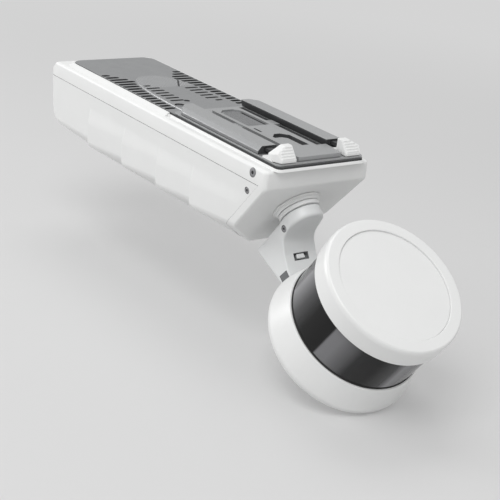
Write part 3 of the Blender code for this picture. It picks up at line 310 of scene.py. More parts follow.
def smoked(name):
    """Dark tinted plastic, glossy, with soft lighter bands round the ring painted into its colour as
    reflections.
    """
    material = new_material(name, PAINTED_REFLECTION_TONES[0], WINDOW_ROUGHNESS, more=WINDOW_VALUES)
    tree = material.node_tree
    inward = PUCK.inverted()
    turn = add_node(tree, "Mapping", {"Vector": add_node(tree, "TexCoord").outputs["Object"],
                                      "Rotation": inward.to_euler(), "Location": inward.translation})
    around = add_node(tree, "TexGradient", {"Vector": turn.outputs["Vector"]}, gradient_type="RADIAL")
    times = add_node(tree, "Math", {0: around.outputs["Fac"], 1: PAINTED_REFLECTION_REPEATS}, operation="MULTIPLY")
    rest = add_node(tree, "Math", {0: times.outputs["Value"]}, operation="FRACT")
    tint(material, rest.outputs["Value"], PAINTED_REFLECTION_SHARES, PAINTED_REFLECTION_TONES)
    vary_roughness(material, noise(material, *SMEARS), *WINDOW_SHEEN)
    return material


def lens(name):
    """Coated glass with a red-violet cast."""
    material = new_material(name, LENS_RED, LENS_ROUGHNESS, more=LENS_VALUES)
    dark = tones(LENS_RED, LENS_DARK_SHARES)
    tint(material, noise(material, *COATING), TONE_SHARES, dark + [LENS_VIOLET])
    return material


def printed_board(name):
    """Green solder mask over copper tracks."""
    material = new_material(name, BOARD_GREEN, BOARD_ROUGHNESS)
    tracks = noise(material, *TRACKS, (1, 6, 1))
    tint(material, tracks, TONE_SHARES, tones(BOARD_GREEN, TRACK_TONE_SHARES))
    add_bump(material, tracks, TRACK_DEPTH)
    return material


WHITE = moulded("white_shell", (0.80, 0.805, 0.80), 0.42, 0.012)
WHITE_GLOSS = moulded("white_cap", (0.80, 0.805, 0.80), 0.34, 0.01)
CAST_WHITE = moulded("cast_white", (0.77, 0.78, 0.78), 0.36, 0.02)
GRAY = flaked("deck_gray", (0.26, 0.265, 0.27), 0.42, 0.35)
# A darker copy of the deck gray: painted shade on the rails' outer flanks
SHADED_FLANK_GRAY = flaked("deck_gray_painted_flank_shade", (0.21, 0.213, 0.218), 0.48, 0.3)
# Near-black painted shade: put on faces in gaps and grooves and under lips, and carried by the cutters
PAINTED_SHADE = moulded("painted_shade_dark", (0.045, 0.046, 0.048), 0.6)
# The dock's lighter gray; on the plateau's sloped rim it is a painted highlight
DOCK_GRAY_AND_RIM_HIGHLIGHT = flaked("dock_gray_and_rim_highlight", (0.35, 0.356, 0.36), 0.4, 0.35)
GRIP = knurled("pocket_grip", (0.20, 0.203, 0.208), 0.6)
PLATEAU_GRID = knurled("plateau_grid", (0.30, 0.305, 0.31), 0.45)
DARK_METAL = machined("screw_steel", (0.33, 0.33, 0.34), 0.38)
BRASS = machined("brass_pins", (0.72, 0.52, 0.24), 0.3)
FINISHES = {
    "white_plastic": WHITE,
    "white_metal": CAST_WHITE,
    "gray_metal": GRAY,
    "dark_metal": DARK_METAL,
    "aluminium": machined("aluminium_milled", (0.62, 0.62, 0.63), 0.34),
    "steel": machined("steel_ground", (0.52, 0.52, 0.54), 0.28),
    "copper_winding": machined("copper_wire", (0.60, 0.32, 0.16), 0.4, (1, 1, 200)),
    "black_plastic": moulded("black_mould", (0.03, 0.03, 0.03), 0.5),
    "black_rubber": moulded("black_gasket", (0.02, 0.02, 0.02), 0.75),
    "gray_rubber": moulded("gray_pad", (0.16, 0.163, 0.168), 0.7),
    "smoked_window": smoked("smoked_plastic"),
    "lens_glass": lens("coated_lens"),
    "circuit_board": printed_board("solder_mask"),
}


# Objects and meshes

def orient(bm):
    """Turns all faces outward."""
    bmesh.ops.recalc_face_normals(bm, faces=bm.faces)


def link(name, bm, *materials):
    """An object with this mesh, in the coordinates of the frame that it is drawn in."""
    bmesh.ops.remove_doubles(bm, verts=bm.verts, dist=WELD)
    orient(bm)
    mesh = bpy.data.meshes.new(name)
    bm.to_mesh(mesh)
    bm.free()
    for material in materials:
        mesh.materials.append(material)
    item = bpy.data.objects.new(name, mesh)
    bpy.context.scene.collection.objects.link(item)
    return item


def bake(item):
    """Replaces the mesh by what its modifiers make of it."""
    graph = bpy.context.evaluated_depsgraph_get()
    mesh = bpy.data.meshes.new_from_object(item.evaluated_get(graph), depsgraph=graph)
    old = item.data
    item.modifiers.clear()
    item.data = mesh
    bpy.data.meshes.remove(old)


def boolean(item, operation, tools):
    for tool in tools:
        modifier = item.modifiers.new(tool.name, "BOOLEAN")
        assign(modifier, operation=operation, object=tool, solver="EXACT")
    bake(item)
    for tool in tools:
        bpy.data.objects.remove(tool, do_unlink=True)


def cut(item, *tools):
    boolean(item, "DIFFERENCE", tools)


def keep(item, *tools):
    boolean(item, "INTERSECT", tools)


def join(item, *tools):
    boolean(item, "UNION", tools)


def opened(item):
    """The piece's mesh, to be worked on."""
    bm = bmesh.new()
    bm.from_mesh(item.data)
    return bm


def stored(bm, item):
    bm.to_mesh(item.data)
    bm.free()


def soften(item, width, segments=3, angle=35.0):
    """Small rounded edges where the mesh turns by more than the angle."""
    assign(item.modifiers.new("edges", "BEVEL"), width=width, segments=segments, limit_method="ANGLE",
           angle_limit=math.radians(angle))
    bake(item)


def shade(item, angle=32.0, lead=60):
    item.data.shade_smooth()
    item.data.set_sharp_from_angle(angle=math.radians(angle))
    assign(item.modifiers.new("flat faces lead", "WEIGHTED_NORMAL"), keep_sharp=True, weight=lead)


def fuse(item, voxel, passes, share=0.5):
    """Melts the piece's overlapping solids into one skin with soft edges."""
    assign(item.modifiers.new("melt", "REMESH"), mode="VOXEL", voxel_size=voxel, use_smooth_shade=True)
    assign(item.modifiers.new("calm", "SMOOTH"), factor=share, iterations=passes)
    bake(item)


def settle(item, matrix, body, slot_name, *nodes):
    """Moves the piece from its drawing frame to the model's, gives it its body and hides the nodes that it
    stands for.
    """
    item.data.transform(matrix)
    shade(item)
    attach(item, body)
    if nodes:
        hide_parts(*nodes)


def box_bm(low, high):
    """A box between two corners."""
    bm = bmesh.new()
    size = [b - a for a, b in zip(low, high)]
    middle = [(a + b) / 2 for a, b in zip(low, high)]
    bmesh.ops.create_cube(bm, size=1, matrix=Matrix.Translation(middle) @ Matrix.Diagonal((*size, 1)))
    return bm


def add_tube(bm, rings):
    """Adds a solid through rings of points: its two ends and the skin between them."""
    loops = [[bm.verts.new(point) for point in ring] for ring in rings]
    bm.faces.new(loops[0])
    bm.faces.new(loops[-1])
    for here, there in zip(loops, loops[1:]):
        for i in range(len(here)):
            j = (i + 1) % len(here)
            bm.faces.new((here[i], here[j], there[j], there[i]))


def add_prism(bm, points, low, high, along="Z"):
    """Adds a flat outline thickened from low to high along one axis."""
    spots = {"X": lambda a, b, c: (c, a, b), "Y": lambda a, b, c: (a, c, b), "Z": lambda a, b, c: (a, b, c)}
    add_tube(bm, [[spots[along](a, b, level) for a, b in points] for level in (low, high)])


def prism(points, low, high, along="Z"):
    bm = bmesh.new()
    add_prism(bm, points, low, high, along)
    return bm


def circle(radius, steps, middle=(0, 0)):
    """The points of a circle in a plane."""
    turns = [2 * math.pi * i / steps for i in range(steps)]
    return [(middle[0] + radius * math.cos(turn), middle[1] + radius * math.sin(turn)) for turn in turns]


def rod(radius, low, high, along="Z", place=(0, 0, 0), steps=COARSE):
    """A round rod along one axis from low to high."""
    bm = prism(circle(radius, steps), low, high, along)
    bmesh.ops.translate(bm, verts=bm.verts, vec=place)
    return bm


def merge(bm, other):
    """Adds another mesh to this one, and frees it."""
    mesh = bpy.data.meshes.new("part")
    other.to_mesh(mesh)
    other.free()
    bm.from_mesh(mesh)
    bpy.data.meshes.remove(mesh)


def span(side, near, far):
    """Two distances from the middle plane as a low and a high X on one side of it."""
    return sorted((side * near, side * far))


def rectangle(low, high):
    return [low, (high[0], low[1]), high, (low[0], high[1])]


def revolved(profile, steps=FINE, closed=False):
    """A profile of (radius, height) turned about the frame's Z."""
    bm = bmesh.new()
    rings = [[bm.verts.new((r * x, r * y, z)) for r, z in profile] for x, y in circle(1, steps)]
    count = len(profile)
    for step in range(steps):
        here, there = rings[step], rings[(step + 1) % steps]
        for i in range(count if closed else count - 1):
            j = (i + 1) % count
            bm.faces.new((here[i], there[i], there[j], here[j]))
    bmesh.ops.remove_doubles(bm, verts=bm.verts, dist=WELD)
    return bm


def turned(name, profile, material, place, steps=FINE, closed=False):
    """A piece of revolution. Its place is what settle takes: a frame, a body, a slot and nodes."""
    settle(link(name, revolved(profile, steps, closed), material), *place)


def arc(centre, radii, start, end, steps=ARC_STEPS):
    """Points of an elliptical arc between two angles in degrees, as (radius, height)."""
    (x, y), (across, up) = centre, radii
    turns = [math.radians(start + (end - start) * i / steps) for i in range(steps + 1)]
    return [(x + across * math.cos(turn), y + up * math.sin(turn)) for turn in turns]


def corner_arc(corner, radius, start, end, steps):
    """A round of one radius about a point that lies inside a corner."""
    return arc(corner, (radius, radius), start, end, steps)


def rounded(points, radii, steps=ARC_STEPS):
    """The outline with each corner of a positive radius replaced by an arc."""
    result = []
    count = len(points)
    for i, (corner, radius) in enumerate(zip(points, radii)):
        here = Vector(corner)
        if radius <= 0:
            result.append(tuple(here))
            continue
        back = (Vector(points[i - 1]) - here).normalized()
        ahead = (Vector(points[(i + 1) % count]) - here).normalized()
        half = back.angle(ahead) / 2
        reach = radius / math.tan(half)
        centre = here + (back + ahead).normalized() * (radius / math.sin(half))
        start = here + back * reach - centre
        end = here + ahead * reach - centre
        sweep = start.angle(end)
        for step in range(steps + 1):
            share = step / steps
            spoke = start * math.sin((1 - share) * sweep) + end * math.sin(share * sweep)
            result.append(tuple(centre + spoke / math.sin(sweep)))
    return result


def mirrored(points, side):
    """The outline on one side of the middle plane."""
    return [(side * a, b) for a, b in points]


def carve(bm, point, normal):
    """Takes away what lies beyond a plane, and closes the cut."""
    everything = bm.verts[:] + bm.edges[:] + bm.faces[:]
    found = bmesh.ops.bisect_plane(bm, geom=everything, plane_co=point, plane_no=normal,
                                   clear_outer=True, dist=WELD)
    rim = [item for item in found["geom_cut"] if isinstance(item, bmesh.types.BMEdge)]
    if rim:
        bmesh.ops.edgeloop_fill(bm, edges=rim)


def score(bm, point, normal):
    """Draws edges where a plane crosses the mesh."""
    everything = bm.verts[:] + bm.edges[:] + bm.faces[:]
    bmesh.ops.bisect_plane(bm, geom=everything, plane_co=point, plane_no=normal, dist=WELD)


# The body's shells

UPPER_LOW, UPPER_HIGH = extent("upper_shell", DECK)
LOWER_LOW, LOWER_HIGH = extent("lower_shell", DECK)
BODY_HALF = UPPER_HIGH.x
SHELL_TOP = UPPER_HIGH.z
SEAM_Z = LOWER_HIGH.z + GAP
KEEL_Z = UPPER_LOW.z
NOSE_Y = UPPER_LOW.y
REAR_Y = 291.5 * MM             # where the rear planes meet, before their round
CHINE_Z = -52 * MM
CHINE_HALF = 42 * MM
KEEL_HALF = 11 * MM
FACET_Z = -10 * MM              # crease of the upper band
FACET_HALF = 44.3 * MM          # half the width at the top of that band
NOSE_BREAK_Z = -16 * MM
HEAD_TILT = math.atan2(-joint("head_spin")["axis"][2], -joint("head_spin")["axis"][1])
NOSE_RIM = 6.6 * MM
REAR_TOP_Y = 279 * MM
REAR_LOW_Y = 282 * MM
REAR_KEEL_Y = 252 * MM
REAR_TOP_Z = -15 * MM
REAR_LOW_Z = -47 * MM
REAR_CORNER = 13 * MM
NOSE_CORNER = 3 * MM
REAR_ROUND = 4.5 * MM
CHINE_ROUND = 6 * MM
TOP_ROUND = 2.4 * MM
NOSE_ROUND = 2.2 * MM
BREAK_ROUND = 2.4 * MM          # soft crease across the nose
SHARPEST = math.radians(18)     # a smaller turn stays as it is
ROUND_SEGMENTS = 5
CORNER_REACH = 5 * MM           # a corner point past an edge is welded when its end is this near
CORNER_PAST = 0.01 * MM         # and when it is at least this far past
FLAT_SHARE = 0.95               # a normal's share along Z above which a face lies flat
UPRIGHT_SHARE = 0.5             # and below which a wall of the deck plate is upright
REAR_SHARE = 0.2                # a normal's least share along Y on the rear
NOSE_SHARE = 0.5                # and on the nose
ASIDE_SHARE = 0.1               # the most that both may face aside

SCALLOP_DEPTH = 3.4 * MM
SCALLOP_STEPS = (222 * MM, 172 * MM, 125 * MM, 82 * MM)
SCALLOP_END = 34 * MM
SCALLOP_BLEND = 3.4 * MM
SCALLOP_HIGH_Z = -24 * MM
SCALLOP_LOW_Z = -36 * MM
SCALLOP_DROP_SHARE = 0.7
BLEND_STEPS = 6


def body_planes(distance):
    """(point, outward normal) of the planes that cut the body out of its upright block."""
    slope = Vector((0, -math.cos(HEAD_TILT), -math.sin(HEAD_TILT)))
    outline = [((NOSE_Y, NOSE_BREAK_Z), slope)]
    corners = [(REAR_TOP_Y, SHELL_TOP), (REAR_Y, REAR_TOP_Z), (REAR_LOW_Y, REAR_LOW_Z),
               (REAR_KEEL_Y, KEEL_Z)]
    for (y, z), (next_y, next_z) in zip(corners, corners[1:]):
        run = Vector((0, next_y - y, next_z - z)).normalized()
        outline.append(((y, z), Vector((0, -run.z, run.y))))
    planes = [(Vector((0, y, z)), normal) for (y, z), normal in outline]
    keel = KEEL_HALF * BODY_HALF / CHINE_HALF
    run = Vector((BODY_HALF - keel, 0, CHINE_Z - KEEL_Z)).normalized()
    for side in WAYS:
        planes.append((Vector((side * BODY_HALF, 0, CHINE_Z)), Vector((side * run.z, 0, -run.x))))
    return [(point - normal * distance, normal) for point, normal in planes]


def body_block(distance=0.0):
    """The upright block with rounded corners, cut by the planes. Its sides are still upright."""
    half, front, back = BODY_HALF - distance, NOSE_Y + distance, REAR_Y - distance
    nose, rear = NOSE_CORNER - distance, REAR_CORNER - distance
    plan = rounded(rectangle((-half, front), (half, back)), [nose, nose, rear, rear])
    bm = prism(plan, KEEL_Z + distance, SHELL_TOP - distance)
    orient(bm)
    for point, normal in body_planes(distance):
        carve(bm, point, normal)
    orient(bm)
    return bm


def edge_round(first, second):
    """The radius of the edge between two faces with these normals."""
    high, low = (first, second) if first.z > second.z else (second, first)
    rear = [n for n in (first, second) if n.y > REAR_SHARE and abs(n.x) < ASIDE_SHARE]
    if len(rear) == 2 or (rear and (high.z > FLAT_SHARE or low.z < -FLAT_SHARE)):
        return REAR_ROUND
    nose = [n for n in (first, second) if n.y < -NOSE_SHARE and abs(n.x) < ASIDE_SHARE]
    if len(nose) == 2:
        return BREAK_ROUND
    if nose:
        return NOSE_ROUND
    if high.z > FLAT_SHARE or rear:
        return TOP_ROUND
    return CHINE_ROUND


def round_edges(item):
    """Rounds each edge of the block by its own radius."""
    bm = opened(item)
    layer = bm.edges.layers.float.new("bevel_weight_edge")
    largest = CHINE_ROUND
    for edge in bm.edges:
        first, second = (face.normal for face in edge.link_faces)
        turn = first.angle(second)
        if turn > SHARPEST:
            edge[layer] = edge_round(first, second) * math.tan(turn / 2) / largest
    stored(bm, item)
    assign(item.modifiers.new("rounds", "BEVEL"), width=largest, segments=ROUND_SEGMENTS,
           limit_method="WEIGHT", use_clamp_overlap=False)
    bake(item)
    tuck_corners(item)


def tuck_corners(item):
    """Welds the corner points that a wide round pushed past an edge across the body onto its end."""
    bm = opened(item)
    targets = {}
    for face in bm.faces:
        middle = face.calc_center_median_weighted()
        for edge in face.edges:
            first, last = edge.verts
            if abs(first.co.x - last.co.x) < BODY_HALF:
                continue
            inward = face.normal.cross(last.co - first.co).normalized()
            if inward.dot(middle - first.co) < 0:
                inward.negate()
            for vert in face.verts:
                nearest = min(edge.verts, key=lambda end: (end.co - vert.co).length)
                near = (nearest.co - vert.co).length < CORNER_REACH
                if near and inward.dot(vert.co - first.co) < -CORNER_PAST:
                    targets[vert] = nearest
    bmesh.ops.weld_verts(bm, targetmap=targets)
    stored(bm, item)


def half_share(z):
    """The body's width at a height, as a share of its largest."""
    if z > FACET_Z:
        lean = (z - FACET_Z) / (SHELL_TOP - FACET_Z)
        return 1 + lean * (FACET_HALF / BODY_HALF - 1)
    if z > SEAM_Z:
        return 1.0
    lean = min((SEAM_Z - z) / (SEAM_Z - CHINE_Z), 1)
    return 1 + lean * (CHINE_HALF / BODY_HALF - 1)


def smooth_share(value):
    value = min(max(value, 0), 1)
    return value * value * (3 - 2 * value)


def scallop(y, z):
    """How far a grip bay stands out of the side: most just ahead of its step, nothing at its front."""
    ends = SCALLOP_STEPS[1:] + (SCALLOP_END,)
    total = 0.0
    for back, front in zip(SCALLOP_STEPS, ends):
        taper = (y - front) / (back - front)
        if taper > 0:
            rise = 1 - smooth_share((y - back) / SCALLOP_BLEND + 0.5)
            total = max(total, min(taper, 1) * rise)
    fade = smooth_share((SCALLOP_HIGH_Z - z) / (SCALLOP_HIGH_Z - SCALLOP_LOW_Z))
    return SCALLOP_DEPTH * total * fade


def lean_sides(item, with_bays):
    """Leans the upright sides in and pushes the grip bays out."""
    bm = opened(item)
    heights = [FACET_Z, SEAM_Z, CHINE_Z]
    if with_bays:
        drop = SCALLOP_LOW_Z - SCALLOP_HIGH_Z
        shares = [i / BLEND_STEPS for i in range(BLEND_STEPS + 1)]
        heights += [SCALLOP_HIGH_Z + drop * i / BLEND_STEPS for i in range(BLEND_STEPS + 1)]
        for back in SCALLOP_STEPS:
            for share in shares:
                score(bm, (0, back + SCALLOP_BLEND * (share - 0.5), 0), (0, 1, 0))
        score(bm, (0, SCALLOP_END, 0), (0, 1, 0))
    for z in heights:
        score(bm, (0, 0, z), (0, 0, 1))
    for vert in bm.verts:
        y, z = vert.co.y, vert.co.z
        push = scallop(y, z) if with_bays else 0
        out = smooth_share((abs(vert.co.x) - KEEL_HALF) / (CHINE_HALF - KEEL_HALF))
        vert.co.x *= half_share(z) + push / BODY_HALF
        vert.co.z -= push * out * SCALLOP_DROP_SHARE
    stored(bm, item)


def body_blank(name):
    """The body's full outer form, of which each shell keeps its half."""
    item = link(name, body_block(), WHITE, PAINTED_SHADE)
    round_edges(item)
    lean_sides(item, True)
    return item


def body_hollow():
    """What is inside the walls, without the grip bays."""
    item = link("body_hollow", body_block(WALL), WHITE)
    lean_sides(item, False)
    return item


def seam_line(shift):
    """The seam as (Y, Z) points from the rear to below the keel, moved down and back by a shift."""
    low = KEEL_Z - OVERRUN
    turn_y = NOSE_Y + NOSE_RIM
    low_y = turn_y + (SEAM_Z - low) * math.tan(HEAD_TILT)
    return [(REAR_Y + OVERRUN, SEAM_Z - shift), (turn_y + shift, SEAM_Z - shift), (low_y + shift, low)]


def lid_outline(distance=0.0):
    """The deck plate's outline, moved in by a distance."""
    half, back = LID_HALF - distance, LID_BACK - distance
    front, rear = LID_FRONT_ROUND - distance, LID_BACK_ROUND - distance
    return rounded(rectangle((-half, distance), (half, back)), [front, front, rear, rear])


LID_LOW, LID_HIGH = extent("deck_lid", DECK)
LID_HALF = LID_HIGH.x
LID_BACK = LID_HIGH.y
LID_FRONT_ROUND = 3 * MM
LID_BACK_ROUND = 9 * MM
LEDGE_WIDTH = 5 * MM
SCREW_GAP = 0.3 * MM
SIDE_SCREWS = ("left_upper_screw", "right_upper_screw", "left_lower_screw", "right_lower_screw")
REAR_FITTINGS = ("power_socket", "data_socket", "button_bezel")
FLANGE_COVER = 1.4 * MM         # of a rear fitting's flange round its hole
FACE_HOLE_R = 9.6 * MM
SEAM_EDGE = 0.35 * MM
LIP_GAP = 0.25 * MM
LIP_TOP = -0.35 * MM
LIP_WIDTH = 1.4 * MM
LIP_FOOT = 5.2 * MM
LIP_FRONT = 126 * MM            # the high lip ends here, behind the dock
LOW_LIP_TOP = -1.3 * MM
LOW_LIP_WIDTH = 0.9 * MM
LOW_LIP_FOOT = 1.8 * MM


def screw_place(node, matrix):
    """Middle of a side screw's outer face, its radius, its length and the side that it is on."""
    low, high = extent(node, matrix)
    side = 1 if low.x > 0 else -1
    place = Vector((high.x if side > 0 else low.x, (low.y + high.y) / 2, (low.z + high.z) / 2))
    return place, (high.y - low.y) / 2, high.x - low.x, side


def screw_recesses(nodes):
    """Cutters for the seats of side screws in the shells."""
    tools = []
    for node in nodes:
        place, radius, length, side = screw_place(node, DECK)
        low, high = sorted((place.x - side * length, place.x + side * OVERRUN))
        bm = rod(radius + SCREW_GAP, low, high, "X", (0, place.y, place.z))
        tools.append(link(node + "_recess", bm, PAINTED_SHADE))
    return tools


def deck_lip(name, width, foot, top, front):
    """A low white rim that rises to the deck plate, from a front plane to the rear."""
    bm = bmesh.new()
    levels = ((foot, SHELL_TOP - GAP), (width, top))
    add_tube(bm, [[(x, y, z) for x, y in lid_outline(-grow)] for grow, z in levels])
    orient(bm)
    carve(bm, (0, front, 0), (0, -1, 0))
    lip = link(name, bm, WHITE)
    cut(lip, link("lip_room", prism(lid_outline(-LIP_GAP), SHELL_TOP - OVERRUN, OVERRUN)))
    return lip


def rear_holes():
    """Cutters for what is set into the rear wall."""
    tools = []
    for node in REAR_FITTINGS:
        low, high = extent(node, REAR)
        bore = link(node + "_hole", rod(high.y - FLANGE_COVER, -WALL - OVERRUN, OVERRUN))
        bore.data.transform(DECK.inverted() @ REAR @ Matrix.Translation(((low.x + high.x) / 2, 0, 0)))
        tools.append(bore)
    return tools


def make_shells():
    """Both shells, and the low rim that shows under the deck plate."""
    reach = BODY_HALF + 2 * OVERRUN
    front = NOSE_Y - 2 * OVERRUN
    upper_side = seam_line(0) + [(front, KEEL_Z - OVERRUN), (front, OVERRUN), (REAR_Y + OVERRUN, OVERRUN)]
    lower_side = seam_line(GAP) + [(REAR_Y + OVERRUN, KEEL_Z - OVERRUN)]
    upper, lower = body_blank("shell_upper"), body_blank("shell_lower")
    for item, outline in ((upper, upper_side), (lower, lower_side)):
        keep(item, link("half", prism(outline, -reach, reach, "X"), PAINTED_SHADE))
        cut(item, body_hollow())
    mouth = link("mouth", prism(lid_outline(LEDGE_WIDTH), SHELL_TOP - WALL - OVERRUN, OVERRUN))
    hole = link("face_hole", rod(FACE_HOLE_R, -WALL - OVERRUN, OVERRUN))
    hole.data.transform(DECK.inverted() @ HEAD)
    cut(upper, mouth, hole, *screw_recesses(SIDE_SCREWS[:2]))
    join(upper, deck_lip("high_lip", LIP_WIDTH, LIP_FOOT, LIP_TOP, LIP_FRONT))
    cut(lower, *rear_holes(), *screw_recesses(SIDE_SCREWS[2:]))
    low_lip = deck_lip("low_lip", LOW_LIP_WIDTH, LOW_LIP_FOOT, LOW_LIP_TOP, -OVERRUN)
    for item, nodes in ((upper, ["upper_shell"]), (lower, ["lower_shell"]), (low_lip, [])):
        soften(item, SEAM_EDGE, *CRISP)
        settle(item, DECK, "root", "white_plastic", *nodes)


make_shells()


# The deck plate with its slats

PLATEAU_RISE = 0.8 * MM
PLATEAU_Y = (123.4 * MM, 140 * MM, 165 * MM, 181 * MM, 196.5 * MM, 207 * MM, 213.5 * MM)
PLATEAU_HALF = (26.5 * MM, 26.5 * MM, 25.4 * MM, 23.4 * MM, 20 * MM, 15.5 * MM, 8 * MM)
PLATEAU_ROUND = (0, 30 * MM, 30 * MM, 30 * MM, 30 * MM, 8 * MM, 6 * MM)
PLATEAU_EDGE = 0.9 * MM
DECK_LOOKS = (GRAY, PAINTED_SHADE, PLATEAU_GRID, DOCK_GRAY_AND_RIM_HIGHLIGHT)
GRID_FRONT_Y = 183 * MM         # the squares on the plateau start behind this
STEEP_SHARE = 0.2               # a face of the plateau's round stands steeper below this
PLATE_EDGE = 0.25 * MM
SLAT_DEPTH = 1.1 * MM
SLAT_WIDTH = 3.9 * MM
SLAT_STEPS = 4
OUTER_SLAT_FIRST_Y = 134 * MM
OUTER_SLAT_PITCH = 6.3 * MM
OUTER_SLAT_COUNT = 17
OUTER_SLAT_OUT = 36.4 * MM
OUTER_SLAT_RIM = 0.9 * MM       # plate left between the plateau and a slat
SLANT_START = (16.5 * MM, 205 * MM)
SLANT_END = (37 * MM, 235 * MM)
SHORTEST_SLAT = 3.6 * MM
INNER_SLAT_WIDTH = 2.7 * MM

# The two rows of inner slats: first Y, pitch, count, span in X, which slat is shorter, and its span
INNER_ROWS = (
    (148.5 * MM, 6.5 * MM, 7, (-22 * MM, -10 * MM), 6, (-20.5 * MM, -14 * MM)),
    (142.5 * MM, 6.8 * MM, 6, (10 * MM, 22 * MM), 0, (14.5 * MM, 21 * MM)),
)

SLIT_ENDS = ((18.6 * MM, 199 * MM), (8 * MM, 182 * MM))
SLIT_WIDTH = 1.5 * MM
SOCKET_DEPTH = 0.6 * MM
HEAD_EDGE = 0.35 * MM
SOCKET_SHARE = 0.45             # driver socket, of the screw head's radius
SOCKET_SIDES = 6
SLOT_END_SHARE = 0.49           # round of a slot's ends, of its width
HEAD_LAND_SHARE = 0.3           # of a screw head's edge: how far it drops before its round


def slot_outline(start, end, width):
    """A slot with round ends round the line between two points."""
    start, end = Vector(start), Vector(end)
    along = (end - start).normalized() * (width / 2)
    across = Vector((-along.y, along.x))
    points = [start - along - across, end + along - across, end + along + across, start - along + across]
    return rounded([tuple(point) for point in points], [width * SLOT_END_SHARE] * len(points), SLAT_STEPS)


def slat(bm, x_span, y, width, top):
    outline = slot_outline((x_span[0] + width / 2, y), (x_span[1] - width / 2, y), width)
    add_prism(bm, outline, top - SLAT_DEPTH, top + OVERRUN)


def outer_slat_in(y):
    """Where an outer slat starts: at the plateau, or at the slanted end of the field."""
    if y < SLANT_START[1]:
        return float(np.interp(y, PLATEAU_Y, PLATEAU_HALF)) + OUTER_SLAT_RIM
    lean = (SLANT_END[0] - SLANT_START[0]) / (SLANT_END[1] - SLANT_START[1])
    return SLANT_START[0] + (y - SLANT_START[1]) * lean + OUTER_SLAT_RIM


def slat_field():
    """All the slats and the slit as one cutter."""
    bm = bmesh.new()
    for i in range(OUTER_SLAT_COUNT):
        y = OUTER_SLAT_FIRST_Y + i * OUTER_SLAT_PITCH
        start = outer_slat_in(y)
        if OUTER_SLAT_OUT - start > SHORTEST_SLAT:
            for side in WAYS:
                slat(bm, span(side, start, OUTER_SLAT_OUT), y, SLAT_WIDTH, 0)
    for first_y, pitch, count, x_span, shorter, short_span in INNER_ROWS:
        for i in range(count):
            ends = short_span if i == shorter else x_span
            slat(bm, ends, first_y + i * pitch, INNER_SLAT_WIDTH, PLATEAU_RISE)
    add_prism(bm, slot_outline(*SLIT_ENDS, SLIT_WIDTH), PLATEAU_RISE - SLAT_DEPTH, OVERRUN)
    orient(bm)
    return link("slat_field", bm, PAINTED_SHADE)


def plateau():
    """The raised middle of the deck plate, with squares on its rear part and a painted highlight in a
    lighter gray on its sloped rim.
    """
    right = list(zip(PLATEAU_HALF, PLATEAU_Y))
    left = [(-x, y) for x, y in reversed(right)]
    rounds = PLATEAU_ROUND + tuple(reversed(PLATEAU_ROUND))
    bm = prism(rounded(right + left, rounds), LID_LOW.z / 2, PLATEAU_RISE)
    score(bm, (0, GRID_FRONT_Y, 0), (0, 1, 0))
    block = link("plateau", bm, *DECK_LOOKS)
    soften(block, PLATEAU_EDGE, *CRISP)
    for face in block.data.polygons:
        if face.normal.z > FLAT_SHARE and face.center.y > GRID_FRONT_Y:
            face.material_index = DECK_LOOKS.index(PLATEAU_GRID)
        # The sloped rim gets the dock's lighter gray as a painted highlight
        elif STEEP_SHARE < face.normal.z < FLAT_SHARE:
            face.material_index = DECK_LOOKS.index(DOCK_GRAY_AND_RIM_HIGHLIGHT)
    return block


def head_profile(radius, top, low, edge=HEAD_EDGE):
    """A screw head with a softened rim, from the middle of its top down its outer side."""
    land = edge * HEAD_LAND_SHARE
    return [(0, top), (radius - edge, top), (radius - land, top - land), (radius, top - edge),
            (radius, low), (0, low)]


def screw_head(name, radius, top, low):
    item = link(name, revolved(head_profile(radius, top, low), COARSE), DARK_METAL, PAINTED_SHADE)
    socket = rod(radius * SOCKET_SHARE, top - SOCKET_DEPTH, top + OVERRUN, steps=SOCKET_SIDES)
    cut(item, link(name + "_socket", socket, PAINTED_SHADE))
    return item


def make_bolt(node, matrix, body):
    """The head of a screw in a side of the body or of the arm."""
    place, radius, length, side = screw_place(node, matrix)
    screw = screw_head(node.replace("_screw", "_bolt"), radius, 0, -length)
    settle(screw, matrix @ frame_matrix(place, (side, 0, 0), (0, 1, 0)), body, "dark_metal", node)


def deck_place(node):
    """A node's middle, its radius and its lowest and highest Z on the deck."""
    low, high = extent(node, DECK)
    return (low + high) / 2, (high.x - low.x) / 2, low.z, high.z


def make_deck():
    """The deck plate with its slats, its screw and its plug."""
    lid = link("deck_panel", prism(lid_outline(), LID_LOW.z, 0), *DECK_LOOKS)
    # The plate's upright walls, in the gap round the plate, get painted shade
    for face in lid.data.polygons:
        if abs(face.normal.z) < UPRIGHT_SHARE:
            face.material_index = DECK_LOOKS.index(PAINTED_SHADE)
    join(lid, plateau())
    seats = []
    for node in ("deck_screw", "deck_plug"):
        middle, radius, low, high = deck_place(node)
        bm = rod(radius + SCREW_GAP, low - SCREW_GAP, OVERRUN, place=(middle.x, middle.y, 0))
        seats.append(link(node + "_seat", bm, PAINTED_SHADE))
    cut(lid, slat_field(), *seats)
    soften(lid, PLATE_EDGE, *CRISP)
    settle(lid, DECK, "root", "gray_metal", "deck_lid")

    middle, radius, low, high = deck_place("deck_screw")
    spot = DECK @ Matrix.Translation((middle.x, middle.y, 0))
    settle(screw_head("deck_bolt", radius, high, low), spot, "root", "dark_metal", "deck_screw")
    middle, radius, low, high = deck_place("deck_plug")
    spot = DECK @ Matrix.Translation((middle.x, middle.y, 0))
    turned("deck_stopper", head_profile(radius, high, low), FINISHES["gray_rubber"],
           (spot, "root", "gray_metal", "deck_plug"), COARSE)


make_deck()


# The dock: plate, rails and pad

